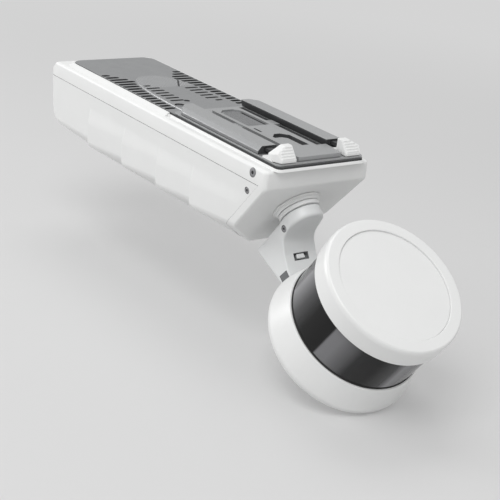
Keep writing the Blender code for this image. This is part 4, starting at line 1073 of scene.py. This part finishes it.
PLATE_ROUND = 3 * MM
CHANNEL_OUT = 23 * MM
CHANNEL_FRONT = 23.5 * MM
CHANNEL_DEPTH = 0.4 * MM
RAIL_UNDERCUT = 1.5 * MM
RAIL_LIP = 1.6 * MM
RAIL_FLANK = 2.2 * MM
RAIL_OUT_HIGH = 34.2 * MM
RAIL_CORNER = 8 * MM
RAIL_EDGE = 0.45 * MM
RUN = 0.4 * MM
TAB_X = 28.6 * MM
TONGUE_HALF = 2.4 * MM
TONGUE_LOW = 3.5 * MM
TONGUE_HIGH = 5.7 * MM
POCKET_END = 46 * MM
PAD_HALF = 12.5 * MM
PAD_ROUND = 4 * MM
CROSSBAR_BACK = 22 * MM
CROSSBAR_SPLAY = 2.4 * MM
CROSSBAR_SPREAD = 1.3 * MM
PAD_EDGE = 0.35 * MM
REAR_POCKET = (9.5 * MM, 70 * MM, 108 * MM)
FRONT_POCKET = (7.5 * MM, 24 * MM, 50 * MM)
POCKET_CORNER = 5 * MM
POCKET_DEPTH = 1.4 * MM
SIDE_GROOVE = 2.0 * MM
SIDE_GROOVE_DEPTH = 2.3 * MM
NOTCH = ((-8.6 * MM, 57 * MM), (-8.6 * MM, 64 * MM))
NOTCH_WIDTH = 1.6 * MM
LEDGE_BLOCK = ((12.3 * MM, 72 * MM), (20.4 * MM, 82 * MM))
LEDGE_RISE = 1.5 * MM
GRIP_RISE = 0.35 * MM
LATCH_PLATE = ((-6.2 * MM, 24.2 * MM), (3.6 * MM, 45 * MM))
LATCH_CORNER = 3 * MM
LATCH_DROP = 0.9 * MM
GRIP_EDGE = PAD_EDGE / 3
RAIL_LOOKS = (DOCK_GRAY_AND_RIM_HIGHLIGHT, PAINTED_SHADE, SHADED_FLANK_GRAY)
INWARD_SHARE = 0.7              # a normal's share above which a rail's face gets painted shade
OUTWARD_SHARE = 0.9             # and above which it gets the darker gray of painted shade on the outer flank


def pocket_outline(half, front, back):
    """A pocket whose rear corners are cut off."""
    return [(-half, front), (half, front), (half, back - POCKET_CORNER), (half - POCKET_CORNER, back),
            (-half + POCKET_CORNER, back), (-half, back - POCKET_CORNER)]


def make_plate():
    """The dock's plate with a channel on each side of the pad."""
    low, high = extent("dock_plate", DECK)
    outline = rounded(rectangle((low.x, low.y), (high.x, high.y)), [PLATE_ROUND] * 4)
    plate = link("dock_base", prism(outline, low.z, high.z), DOCK_GRAY_AND_RIM_HIGHLIGHT, PAINTED_SHADE)
    channels = bmesh.new()
    for side in WAYS:
        x_low, x_high = span(side, PAD_HALF + GAP, CHANNEL_OUT)
        outline = rectangle((x_low, CHANNEL_FRONT), (x_high, high.y - PLATE_ROUND))
        add_prism(channels, outline, high.z - CHANNEL_DEPTH, OVERRUN)
    cut(plate, link("channels", channels, PAINTED_SHADE))
    soften(plate, PLATE_EDGE)
    settle(plate, DECK, "root", "gray_metal", "dock_plate")


def shade_flanks(rail, side):
    """Painted shade: near-black under the lip and on the front end, a darker gray on the outer flank."""
    for face in rail.data.polygons:
        if face.normal.x * side < -INWARD_SHARE or face.normal.y < -INWARD_SHARE:
            face.material_index = RAIL_LOOKS.index(PAINTED_SHADE)
        elif face.normal.x * side > OUTWARD_SHARE:
            face.material_index = RAIL_LOOKS.index(SHADED_FLANK_GRAY)


def make_rail(word, side):
    """A dock rail, undercut inside, with the pocket that its tab slides in."""
    node = word + "_rail"
    low, high = extent(node, DECK)
    inner, outer = sorted((abs(low.x), abs(high.x)))
    section = [(inner + RAIL_UNDERCUT, low.z), (outer, low.z), (outer, low.z + RAIL_FLANK),
               (RAIL_OUT_HIGH, high.z), (inner, high.z), (inner, high.z - RAIL_LIP)]
    bm = prism(mirrored(section, side), low.y, high.y, "Y")
    carve(bm, (side * outer, high.y - RAIL_CORNER, 0), (side, 1, 0))
    rail = link("dock_rail_" + word, bm, *RAIL_LOOKS)
    shade_flanks(rail, side)
    x_low, x_high = span(side, TAB_X - TONGUE_HALF - RUN, TAB_X + TONGUE_HALF + RUN)
    pocket = box_bm((x_low, low.y - OVERRUN, TONGUE_LOW - RUN), (x_high, POCKET_END, TONGUE_HIGH + RUN))
    cut(rail, link("pocket", pocket, PAINTED_SHADE))
    soften(rail, RAIL_EDGE)
    settle(rail, DECK, "root", "gray_metal", node)


def pad_blank(low, high):
    """The pad with its crossbar and the two ledges beside it, before its pockets are cut."""
    half = high.x + CROSSBAR_SPREAD
    front_half = half - CROSSBAR_SPLAY
    bar = [(-front_half, low.y), (front_half, low.y), (half, CROSSBAR_BACK), (PAD_HALF, CROSSBAR_BACK),
           (PAD_HALF, high.y), (-PAD_HALF, high.y), (-PAD_HALF, CROSSBAR_BACK), (-half, CROSSBAR_BACK)]
    outline = rounded(bar, [0, 0, 0, 0, PAD_ROUND, PAD_ROUND, 0, 0])
    pad = link("dock_table", prism(outline, low.z, high.z), DOCK_GRAY_AND_RIM_HIGHLIGHT, PAINTED_SHADE)
    ledges = bmesh.new()
    for side in WAYS:
        add_prism(ledges, mirrored(rectangle(*LEDGE_BLOCK), side), low.z, low.z + LEDGE_RISE)
    join(pad, link("ledges", ledges, DOCK_GRAY_AND_RIM_HIGHLIGHT))
    return pad


def make_pad():
    """The dock pad with its pockets, the plate in the front one and the grip in the rear one."""
    low, high = extent("dock_pad", DECK)
    pad = pad_blank(low, high)
    floor, deep, above = high.z - POCKET_DEPTH, high.z - SIDE_GROOVE_DEPTH, OVERRUN * 2
    half, front, back = REAR_POCKET
    rear_pocket = link("rear_pocket", prism(pocket_outline(*REAR_POCKET), floor, above), DOCK_GRAY_AND_RIM_HIGHLIGHT)
    front_pocket = link("front_pocket", prism(pocket_outline(*FRONT_POCKET), deep, above), PAINTED_SHADE)
    grooves = bmesh.new()
    for side in WAYS:
        x_low, x_high = span(side, half - SIDE_GROOVE, half)
        add_prism(grooves, rectangle((x_low, front), (x_high, back - POCKET_CORNER)), deep, above)
    add_prism(grooves, slot_outline(*NOTCH, NOTCH_WIDTH), floor, above)
    cut(pad, rear_pocket)
    cut(pad, front_pocket, link("grooves", grooves, PAINTED_SHADE))
    soften(pad, PAD_EDGE, *CRISP)
    settle(pad, DECK, "root", "gray_metal", "dock_pad")

    (x_low, y_low), (x_high, y_high) = LATCH_PLATE
    points = [(x_low, y_low), (x_high, y_low), (x_high, y_high - LATCH_CORNER),
              (x_high - LATCH_CORNER, y_high), (x_low, y_high)]
    plate = link("pocket_plate", prism(points, deep, high.z - LATCH_DROP), DOCK_GRAY_AND_RIM_HIGHLIGHT)
    soften(plate, PAD_EDGE)
    settle(plate, DECK, "root", "gray_metal")

    outline = pocket_outline(half - SIDE_GROOVE - GAP, front + GAP, back - GAP)
    grip = link("pocket_grip", prism(outline, floor, floor + GRIP_RISE), GRIP)
    soften(grip, GRIP_EDGE, CRISP[0])
    settle(grip, DECK, "root", "gray_rubber")


make_plate()
for word, side in SIDES:
    make_rail(word, side)
make_pad()


# Release tabs

TAB_CREST_Y = 8 * MM
TAB_BACK = 12 * MM
TAB_LIP_Z = 3.6 * MM
TAB_CHAMFER = 3.4 * MM
TAB_SLOPE_IN = 28 * MM
TAB_SLOPE_Z = 6.5 * MM
TAB_FOOT_TOP = 3.1 * MM
TAB_FOOT_BACK = 17.3 * MM
TAB_VOXEL = 0.28 * MM
TAB_CALM = 3                    # smoothing passes after the melt
RIB_COUNT = 5
RIB_STEPS = 12
RIB_R = 0.62 * MM
RIB_IN = 22.6 * MM
RIB_OUT = 33 * MM
RIB_FIRST_SHARE = 0.12
RIB_STEP_SHARE = 0.19
SPRING_WIRE_R = 0.25 * MM
SPRING_TURNS = 9
SPRING_STEPS = 20               # points of the wire in a turn
WIRE_STEPS = 8


def add_ribs(bm, side, front, top, outer):
    """Thin round ribs across the tab's sloping front."""
    lean = (top - TAB_LIP_Z) / (TAB_CREST_Y - front)
    for i in range(RIB_COUNT):
        y = front + (TAB_CREST_Y - front) * (RIB_FIRST_SHARE + RIB_STEP_SHARE * i)
        z = TAB_LIP_Z + (y - front) * lean
        slope_x = TAB_SLOPE_IN + (top - z) / (top - TAB_SLOPE_Z) * (outer - TAB_SLOPE_IN)
        x_low, x_high = span(side, RIB_IN, min(RIB_OUT, slope_x - 2 * RIB_R))
        add_prism(bm, circle(RIB_R, RIB_STEPS, (y, z)), x_low, x_high, "X")


def make_tab(word, side):
    """A release tab: a ribbed head melted into one skin, its foot and its tongue."""
    node = word + "_release_tab"
    low, high = extent(node, DECK)
    inner, outer = sorted((abs(low.x), abs(high.x)))
    front, base, top = low.y, low.z, high.z
    profile = [(front, base), (TAB_BACK, base), (TAB_BACK, top), (TAB_CREST_Y, top), (front, TAB_LIP_Z)]
    x_low, x_high = span(side, inner, outer)
    bm = prism(profile, x_low, x_high, "X")
    orient(bm)
    rise = TAB_BACK - TAB_CHAMFER - front
    carve(bm, (side * outer, TAB_BACK - TAB_CHAMFER, 0), (side * rise, -TAB_CHAMFER, 0))
    carve(bm, (side * TAB_SLOPE_IN, 0, top), (side * (top - TAB_SLOPE_Z), 0, outer - TAB_SLOPE_IN))
    add_ribs(bm, side, front, top, outer)
    tab = link("tab_" + word, bm, WHITE, PAINTED_SHADE)
    fuse(tab, TAB_VOXEL, TAB_CALM)
    foot = box_bm((x_low, TAB_BACK - OVERRUN, base), (x_high, TAB_FOOT_BACK, TAB_FOOT_TOP))
    x_low, x_high = span(side, TAB_X - TONGUE_HALF, TAB_X + TONGUE_HALF)
    tongue = box_bm((x_low, TAB_BACK - OVERRUN, TONGUE_LOW), (x_high, high.y, TONGUE_HIGH))
    join(tab, link("foot", foot, WHITE), link("tongue", tongue, PAINTED_SHADE))
    settle(tab, DECK, word + "_tab", "white_plastic", node)


def make_spring(word):
    """The coil behind a tab."""
    node = word + "_release_spring"
    low, high = extent(node, DECK)
    middle = (low + high) / 2
    radius = (high.z - low.z) / 2 - SPRING_WIRE_R
    length = high.y - low.y - 2 * SPRING_WIRE_R
    count = SPRING_TURNS * SPRING_STEPS
    rings = []
    for i in range(count + 1):
        angle = math.tau * i / SPRING_STEPS
        spoke = Vector((math.cos(angle), 0, math.sin(angle)))
        y = low.y + SPRING_WIRE_R + length * i / count
        centre = Vector((middle.x, y, middle.z)) + spoke * radius
        rings.append([centre + (spoke * a + Vector((0, b, 0))) * SPRING_WIRE_R
                      for a, b in circle(1, WIRE_STEPS)])
    bm = bmesh.new()
    add_tube(bm, rings)
    spring = link(word + "_coil", bm, FINISHES["steel"])
    settle(spring, DECK, "root", "steel", node)
    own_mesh(spring)


for word, side in SIDES:
    make_tab(word, side)
    make_spring(word)

for node in SIDE_SCREWS:
    make_bolt(node, DECK, "root")


# Collar, arm and what is on it

COLLAR_RIM_R = 15 * MM
COLLAR_GROOVE_LOW = 3.2 * MM
COLLAR_GROOVE_HIGH = 4 * MM
COLLAR_GROOVE_R = 13.4 * MM
COLLAR_EDGE = 0.6 * MM
COLLAR_FLARE = 1.6 * MM
FLARE_STEPS = 6
ARM_ELBOW_DROP = 41.5 * MM
ARM_ELBOW_OUT = 10.8 * MM
ARM_NAPE_OUT = 7.3 * MM
ARM_SHOULDER = (-5 * MM, 16.4 * MM)
ARM_BEND = (-11.5 * MM, 18.7 * MM)
ARM_BEND_ROUND = 8 * MM
ARM_RAMP = (-16.5 * MM, 28 * MM)
ARM_NECK = (-21 * MM, 43 * MM)
ARM_TONGUE = (-12 * MM, 88 * MM)
ARM_TIP = (-26 * MM, 88 * MM)
ARM_SOLE = (-32 * MM, 42.5 * MM)
ARM_HUB_OUT = 16 * MM
ARM_HUB_ROUND = 2.8 * MM
ARM_PLATE_R = 26 * MM
ARM_PLATE_THICK = 5 * MM
ARM_VOXEL = 0.5 * MM
ARM_CALM = 24
SLOT_HALF = 6.4 * MM
SLOT_NEAR = 28 * MM
SLOT_FAR = 33 * MM
SLOT_FLOOR = -20 * MM
SHAFT_BORE_R = 6.3 * MM
SHAFT_SEAT = 9.8 * MM
DISH_WALL = 3 * MM
DISH_FOOT_R = 46.8 * MM
DISH_TOP_R = 49.6 * MM
DISH_EDGE = 0.5 * MM
DISH_STEPS = 14
ARM_HALF = 14 * MM
SCREW_SUNK = 1.5 * MM
DAMPER_NEAR = 37.6 * MM
DAMPER_FAR = 44 * MM
DAMPER_LOW = -30 * MM
LATCH_HALF = 3.4 * MM
LATCH_EDGE = 0.9 * MM
LATCH_TOP = -17.2 * MM
LATCH_FAR_GAP = 4 * GAP


def make_collar():
    """The collar round the head joint, with a groove above its flare."""
    low, high = extent("hub_collar", HEAD)
    foot_r, top, edge = high.x, high.z, COLLAR_EDGE
    profile = [(FACE_HOLE_R, top)] + corner_arc((COLLAR_RIM_R - edge, top - edge), edge, 90, 0, EDGE_STEPS)
    profile += [(COLLAR_RIM_R, COLLAR_GROOVE_HIGH), (COLLAR_GROOVE_R, COLLAR_GROOVE_HIGH),
                (COLLAR_GROOVE_R, COLLAR_GROOVE_LOW)]
    flare = (foot_r - COLLAR_RIM_R, COLLAR_FLARE)
    profile += arc((foot_r, COLLAR_GROOVE_LOW), flare, 180, 270, FLARE_STEPS)
    profile += [(foot_r, low.z), (FACE_HOLE_R, low.z)]
    turned("collar", profile, WHITE, (HEAD, "root", "white_plastic", "hub_collar"), closed=True)


def dish_side(grow=0.0):
    """The dish's outer side from its top edge to the middle of its bottom."""
    high = extent("puck_base", PUCK)[1]
    bulge_r = high.x - DISH_FOOT_R
    lean = math.degrees(math.atan2(high.x - DISH_TOP_R, high.z - bulge_r))
    edge = DISH_EDGE
    if grow:
        points = [(DISH_TOP_R + grow, high.z)]
    else:
        points = corner_arc((DISH_TOP_R - edge, high.z - edge), edge, 90, lean, FINE_EDGE_STEPS)
    return points + corner_arc((DISH_FOOT_R, bulge_r), bulge_r + grow, lean, -90, DISH_STEPS) + [(0, -grow)]


def arm_blank():
    """The arm, its hub and the plate under the puck, melted into one casting."""
    half, edge = ARM_HALF, ARM_HUB_ROUND
    side = [(-ARM_ELBOW_DROP, ARM_ELBOW_OUT), (0, ARM_NAPE_OUT), (0, ARM_HUB_OUT - GAP), ARM_SHOULDER,
            ARM_BEND, ARM_RAMP, ARM_NECK, ARM_TONGUE, ARM_TIP, ARM_SOLE]
    bm = prism(rounded(side, [0, 0, 0, 0, ARM_BEND_ROUND, 0, 0, 0, 0, 0]), -half, half, "X")
    back = extent("arm", HEAD)[0].z
    profile = [(0, back), (half, back)] + arc((half - edge, ARM_HUB_OUT - edge), (edge, edge), 0, 90)
    merge(bm, revolved(profile + [(0, ARM_HUB_OUT)], COARSE))
    plate = rod(ARM_PLATE_R, -ARM_PLATE_THICK, DISH_WALL, steps=FINE)
    plate.transform(HEAD.inverted() @ PUCK)
    merge(bm, plate)
    arm = link("arm_casting", bm, CAST_WHITE, PAINTED_SHADE, GRAY)
    fuse(arm, ARM_VOXEL, ARM_CALM)
    return arm


def arm_seats(word, side):
    """Cutters for the screw and the damper on one side of the arm."""
    place, radius = screw_place(word + "_arm_screw", HEAD)[:2]
    x_low, x_high = span(side, ARM_HALF - SCREW_SUNK, ARM_HALF + OVERRUN)
    recess = link("recess", rod(radius + SCREW_GAP, x_low, x_high, "X", (0, place.y, place.z)), PAINTED_SHADE)
    low, high = extent(word + "_damper", HEAD)
    x_low, x_high = span(side, ARM_HALF - (high.x - low.x) - GAP, ARM_HALF + OVERRUN)
    seat = box_bm((x_low, DAMPER_LOW - GAP, DAMPER_NEAR - GAP), (x_high, high.y + GAP, DAMPER_FAR + GAP))
    return [recess, link("seat", seat, PAINTED_SHADE)]


def make_arm():
    """The arm with its seats, its two screws and the latch in its slot."""
    arm = arm_blank()
    top = extent("puck_base", PUCK)[1].z + OVERRUN
    room = link("room", revolved([(0, top), (DISH_TOP_R + GAP, top)] + dish_side(GAP)), CAST_WHITE)
    room.data.transform(HEAD.inverted() @ PUCK)
    slot = link("slot", box_bm((-SLOT_HALF, SLOT_FLOOR, SLOT_NEAR), (SLOT_HALF, OVERRUN, SLOT_FAR)), GRAY)
    bore = link("bore", rod(SHAFT_BORE_R, -OVERRUN, SHAFT_SEAT), PAINTED_SHADE)
    seats = [seat for word, side in SIDES for seat in arm_seats(word, side)]
    cut(arm, room, slot, bore, *seats)
    settle(arm, HEAD, "scan_head", "white_metal", "arm")

    for word, side in SIDES:
        make_bolt(word + "_arm_screw", HEAD, "scan_head")
    low = (-LATCH_HALF, SLOT_FLOOR + GAP, SLOT_NEAR + GAP)
    high = (LATCH_HALF, LATCH_TOP, SLOT_FAR - LATCH_FAR_GAP)
    latch = link("arm_latch", box_bm(low, high), CAST_WHITE)
    soften(latch, LATCH_EDGE)
    settle(latch, HEAD, "scan_head", "white_metal")


make_collar()
make_arm()


# The puck

CAP_BEVEL_R = 2 * MM
CAP_BEVEL_Z = 4 * MM
CAP_BEVEL_STEPS = 12
CAP_FLOOR_Z = 75 * MM
CAP_WALL = 2.7 * MM
CAP_LAND = 5.4 * MM
CAP_FOOT_EDGE = 0.7 * MM
RIM_EDGE = 0.6 * MM
DISC_GAP = 0.12 * MM
DISC_DROP = 0.65 * MM
DISC_EDGE = 0.5 * MM
WINDOW_WALL = 2.4 * MM
WINDOW_EDGE = 0.3 * MM
WINDOW_STEPS = 2
SEAL_LIP = 0.5 * MM
BOWL_SPAN = (-60, 10)           # degrees of the dish's inner round
BOWL_STEPS = 6


def make_dish():
    high = extent("puck_base", PUCK)[1]
    inner, foot = DISH_TOP_R - DISH_WALL, DISH_FOOT_R - DISH_WALL
    bulge_r = high.x - DISH_FOOT_R
    profile = dish_side() + [(0, DISH_WALL), (foot, DISH_WALL)]
    profile += corner_arc((foot, bulge_r), bulge_r - DISH_WALL / 2, *BOWL_SPAN, BOWL_STEPS)
    profile += [(inner, high.z - DISH_EDGE), (inner, high.z)]
    turned("puck_dish", profile, WHITE_GLOSS,
           (PUCK, "scan_head", "white_plastic", "puck_base"), closed=True)


def make_seal():
    low, high = extent("window_seal", PUCK)
    window_r = extent("window", PUCK)[1].x
    edge, inner, outer = WINDOW_EDGE, window_r - WINDOW_WALL, window_r + SEAL_LIP
    profile = [(inner, low.z), (outer, low.z)]
    profile += corner_arc((outer - edge, high.z - edge), edge, 0, 90, FINE_EDGE_STEPS) + [(inner, high.z)]
    turned("seal_ring", profile, FINISHES["black_rubber"],
           (PUCK, "scan_head", "black_rubber", "window_seal"), closed=True)


def make_window():
    low, high = extent("window", PUCK)
    outer, inner, edge = high.x, high.x - WINDOW_WALL, WINDOW_EDGE
    profile = corner_arc((outer - edge, high.z - edge), edge, 90, 0, WINDOW_STEPS)
    profile += corner_arc((outer - edge, low.z + edge), edge, 0, -90, WINDOW_STEPS)
    profile += [(inner, low.z), (inner, high.z)]
    turned("window_ring", profile, FINISHES["smoked_window"],
           (PUCK, "scan_head", "smoked_window", "window"), closed=True)


def make_cap():
    """The puck's cap, and the disc sunk into its top."""
    low, high = extent("top_cap", PUCK)
    outer, top, foot = high.x, high.z, low.z
    disc_low, disc_high = extent("top_disc", PUCK)
    disc_r = disc_high.x
    rim = disc_r + DISC_GAP
    profile = [(0, CAP_FLOOR_Z), (rim, CAP_FLOOR_Z)]
    profile += corner_arc((rim + RIM_EDGE, top - RIM_EDGE), RIM_EDGE, 180, 90, FINE_EDGE_STEPS)
    bevel = (CAP_BEVEL_R, CAP_BEVEL_Z)
    profile += arc((outer - CAP_BEVEL_R, top - CAP_BEVEL_Z), bevel, 90, 0, CAP_BEVEL_STEPS)
    profile += corner_arc((outer - CAP_FOOT_EDGE, foot + CAP_FOOT_EDGE), CAP_FOOT_EDGE, 0, -90, EDGE_STEPS)
    inner, under = outer - CAP_WALL, CAP_FLOOR_Z - CAP_WALL
    profile += [(outer - CAP_LAND, foot), (outer - CAP_LAND, foot + CAP_WALL), (inner, foot + CAP_WALL),
                (inner, under), (0, under)]
    turned("puck_cap", profile, WHITE_GLOSS, (PUCK, "scan_head", "white_plastic", "top_cap"))

    edge, top = DISC_EDGE, disc_high.z - DISC_DROP
    profile = [(0, top)] + arc((disc_r - edge, top - edge / 2), (edge, edge / 2), 90, 0, EDGE_STEPS)
    profile += [(disc_r, disc_low.z), (0, disc_low.z)]
    turned("cap_disc", profile, WHITE_GLOSS, (PUCK, "scan_head", "white_plastic", "top_disc"))


make_dish()
make_seal()
make_window()
make_cap()

# Rear wall fittings

FLANGE_THICK = 1.5 * MM
FITTING_EDGE = 0.35 * MM
SOCKET_RIM = 1.1 * MM
SOCKET_RECESS = 2.4 * MM
SOCKET_WALL = 2 * MM            # how far a flange stands out round its socket
KEY_REACH = 0.625 * MM
PIN_R = 0.55 * MM
PIN_STEPS = 16
PIN_EDGE_SHARE = 0.6
PIN_RING_SHARE = 0.55
KEY_HALF = 0.8 * MM
BUTTON_DISH = 0.35 * MM
BUTTON_DISH_SHARES = ((0.4, 0.8), (0.75, 0.2))      # of the button's radius, and of its dish there
BEZEL_BORE = 4.9 * MM
BEZEL_FLOOR = 0.8 * MM


def rear_place(node):
    """The frame of a rear fitting, its radius and its lowest and highest Z."""
    low, high = extent(node, REAR)
    return REAR @ Matrix.Translation(((low.x + high.x) / 2, 0, 0)), (high.x - low.x) / 2, low.z, high.z


def make_socket(node, pins):
    """A round socket with a key slot and a ring of pins."""
    place, flange_r, low, high = rear_place(node)
    body_r = flange_r - SOCKET_WALL
    edge, flange = FITTING_EDGE, GAP + FLANGE_THICK
    bore = body_r - SOCKET_RIM
    floor = high - SOCKET_RECESS
    profile = [(0, floor), (bore, floor), (bore, high - edge), (bore + edge, high), (body_r - edge, high),
               (body_r, high - edge), (body_r, flange), (flange_r - edge, flange),
               (flange_r, flange - edge), (flange_r, GAP), (body_r, GAP), (body_r, low), (0, low)]
    socket = link(node.replace("_socket", "_port"), revolved(profile, COARSE), DARK_METAL, PAINTED_SHADE)
    key = box_bm((-KEY_HALF, bore - SOCKET_RIM, floor - GAP), (KEY_HALF, bore + KEY_REACH, high + OVERRUN))
    cut(socket, link("key", key, PAINTED_SHADE))
    settle(socket, place, "root", "dark_metal", node)
    contacts = bmesh.new()
    for i in range(pins):
        angle = math.tau * (i + 0.5) / pins
        spot = (bore * PIN_RING_SHARE * math.cos(angle), bore * PIN_RING_SHARE * math.sin(angle), 0)
        pin = revolved(head_profile(PIN_R, high - GAP, floor, PIN_R * PIN_EDGE_SHARE), PIN_STEPS)
        bmesh.ops.translate(pin, verts=pin.verts, vec=spot)
        merge(contacts, pin)
    contacts = link(node.replace("_socket", "_contacts"), contacts, BRASS)
    settle(contacts, place, "root", "copper_winding")


def make_button():
    """The power button and the ring round it."""
    place, radius, low, high = rear_place("button_bezel")
    body_r, edge = radius - FLANGE_THICK, FITTING_EDGE
    floor = low + BEZEL_FLOOR
    profile = [(BEZEL_BORE, high - edge), (BEZEL_BORE + edge, high), (radius - edge, high),
               (radius, high - edge), (radius, GAP), (body_r, GAP), (body_r, low), (0, low),
               (0, floor), (BEZEL_BORE, floor)]
    turned("button_ring", profile, DARK_METAL, (place, "root", "dark_metal", "button_bezel"), COARSE, True)
    radius, low, high = rear_place("power_button")[1:]
    profile = [(0, high - BUTTON_DISH)]
    profile += [(radius * out, high - BUTTON_DISH * deep) for out, deep in BUTTON_DISH_SHARES]
    profile += corner_arc((radius - edge, high - edge), edge, 90, 0, EDGE_STEPS) + [(radius, low), (0, low)]
    turned("button_cap", profile, FINISHES["black_rubber"],
           (place, "button", "black_rubber", "power_button"), COARSE)


make_socket("power_socket", 4)
make_socket("data_socket", 8)
make_button()


# Camera, light and floor

CAMERA_PLACE = (-0.5384, -0.6436, 0.2409)
CAMERA_LENS = 90.44
CAMERA_RIGHT = (0.7925, -0.5978, 0.1227)
CAMERA_UP = (0.1319, 0.3643, 0.9220)
CAMERA_BACK = (-0.5955, -0.7141, 0.3675)
SENSOR_WIDTH = 36.0
CLIP_START = 0.01
CLIP_END = 50.0
FLOOR_REACH = 6.0
FLOOR_CELLS = 8
FLOOR_COLOUR = (0.66, 0.66, 0.66)
FLOOR_ROUGHNESS = 0.9
FLOOR_MOTTLE = (4.0, 2.0)
FLOOR_TONE_SHARES = (0.995, 1.005)
FLOOR_NEAR = 0.35
FLOOR_FAR = 1.3
BACKDROP_COLOUR = (0.66, 0.66, 0.66)
BACKDROP_NEAR_SHARE = 0.3
SKY_STRENGTH = 0.45

# Lamps: name, place, target, size and power in watts
LAMPS = (
    ("key", (-0.9, -0.5, 1.3), (0, 0, 0), 1.0, 15.0),
    ("left", (-0.8, 1.3, 0.35), (0, 0.05, -0.03), 0.5, 6.0),
    ("front", (0.3, -1.4, 0.1), (0, -0.1, -0.06), 0.8, 2.0),
    ("top", (0.3, 0.6, 1.4), (0, 0, 0), 0.8, 5.0),
)


def stand(name, data, place, turn):
    """A camera or a lamp at a place, turned by a quaternion."""
    item = bpy.data.objects.new(name, data)
    assign(item, location=place, rotation_mode="QUATERNION", rotation_quaternion=turn)
    bpy.context.scene.collection.objects.link(item)
    return item


def make_camera():
    data = assign(bpy.data.cameras.new("camera"), lens=CAMERA_LENS, sensor_width=SENSOR_WIDTH,
                  clip_start=CLIP_START, clip_end=CLIP_END)
    turn = Matrix((CAMERA_RIGHT, CAMERA_UP, CAMERA_BACK)).transposed()
    bpy.context.scene.camera = stand("camera", data, CAMERA_PLACE, turn.to_quaternion())


def make_lamp(name, place, target, size, power):
    data = assign(bpy.data.lights.new(name, "AREA"), shape="RECTANGLE", size=size, size_y=size, energy=power)
    aim = Vector(target) - Vector(place)
    stand(name, data, place, aim.to_track_quat("-Z", "Y"))


def seen_share(tree):
    """One where a camera, glossy or transmitted ray arrives, and nothing elsewhere."""
    path = add_node(tree, "LightPath").outputs
    total = path["Is Camera Ray"]
    for name in ("Is Glossy Ray", "Is Transmission Ray"):
        total = add_node(tree, "Math", {0: total, 1: path[name]}, operation="MAXIMUM").outputs["Value"]
    return total


def make_floor():
    """A pale sheet: lit and shaded near the object, as pale as the backdrop far from it."""
    bm = bmesh.new()
    bmesh.ops.create_grid(bm, x_segments=FLOOR_CELLS, y_segments=FLOOR_CELLS, size=FLOOR_REACH)
    floor = link("floor", bm)
    floor.location.z = CAD_BOX[0].z
    material = new_material("floor_paper", FLOOR_COLOUR, FLOOR_ROUGHNESS)
    tint(material, noise(material, *FLOOR_MOTTLE), TONE_SHARES, tones(FLOOR_COLOUR, FLOOR_TONE_SHARES))
    tree = material.node_tree
    where = add_node(tree, "TexCoord").outputs["Object"]
    distance = add_node(tree, "VectorMath", {0: where}, operation="LENGTH").outputs["Value"]
    fade = add_node(tree, "MapRange", {"Value": distance, "From Min": FLOOR_NEAR, "From Max": FLOOR_FAR,
                                       "To Min": BACKDROP_NEAR_SHARE}, interpolation_type="SMOOTHSTEP")
    share = add_node(tree, "Math", {0: fade.outputs["Result"], 1: seen_share(tree)}, operation="MULTIPLY")
    glow = add_node(tree, "Emission", {"Color": (*BACKDROP_COLOUR, 1)}).outputs["Emission"]
    near = shader_of(material).outputs["BSDF"]
    mix = add_node(tree, "MixShader", {"Fac": share.outputs["Value"], 1: near, 2: glow})
    tree.links.new(mix.outputs["Shader"], tree.nodes["Material Output"].inputs["Surface"])
    floor.data.materials.append(material)


def make_light():
    """A plain white surround, a pale backdrop for what sees it, and the lamps."""
    world = bpy.data.worlds.new("studio")
    bpy.context.scene.world = world
    world.use_nodes = True
    tree = world.node_tree
    sky = tree.nodes["Background"]
    sky.inputs["Color"].default_value = (1.0, 1.0, 1.0, 1)
    sky.inputs["Strength"].default_value = SKY_STRENGTH
    backdrop = add_node(tree, "Background", {"Color": (*BACKDROP_COLOUR, 1)}).outputs["Background"]
    mix = add_node(tree, "MixShader", {"Fac": seen_share(tree), 1: sky.outputs["Background"], 2: backdrop})
    tree.links.new(mix.outputs["Shader"], tree.nodes["World Output"].inputs["Surface"])
    for lamp in LAMPS:
        make_lamp(*lamp)


make_camera()
make_light()
make_floor()
bpy.context.scene.view_settings.view_transform = "Standard"

for node in frame["nodes"].values():
    for slot in node.material_slots:
        name = slot.material.name.split(".")[0]
        if name in FINISHES:
            slot.material = FINISHES[name]
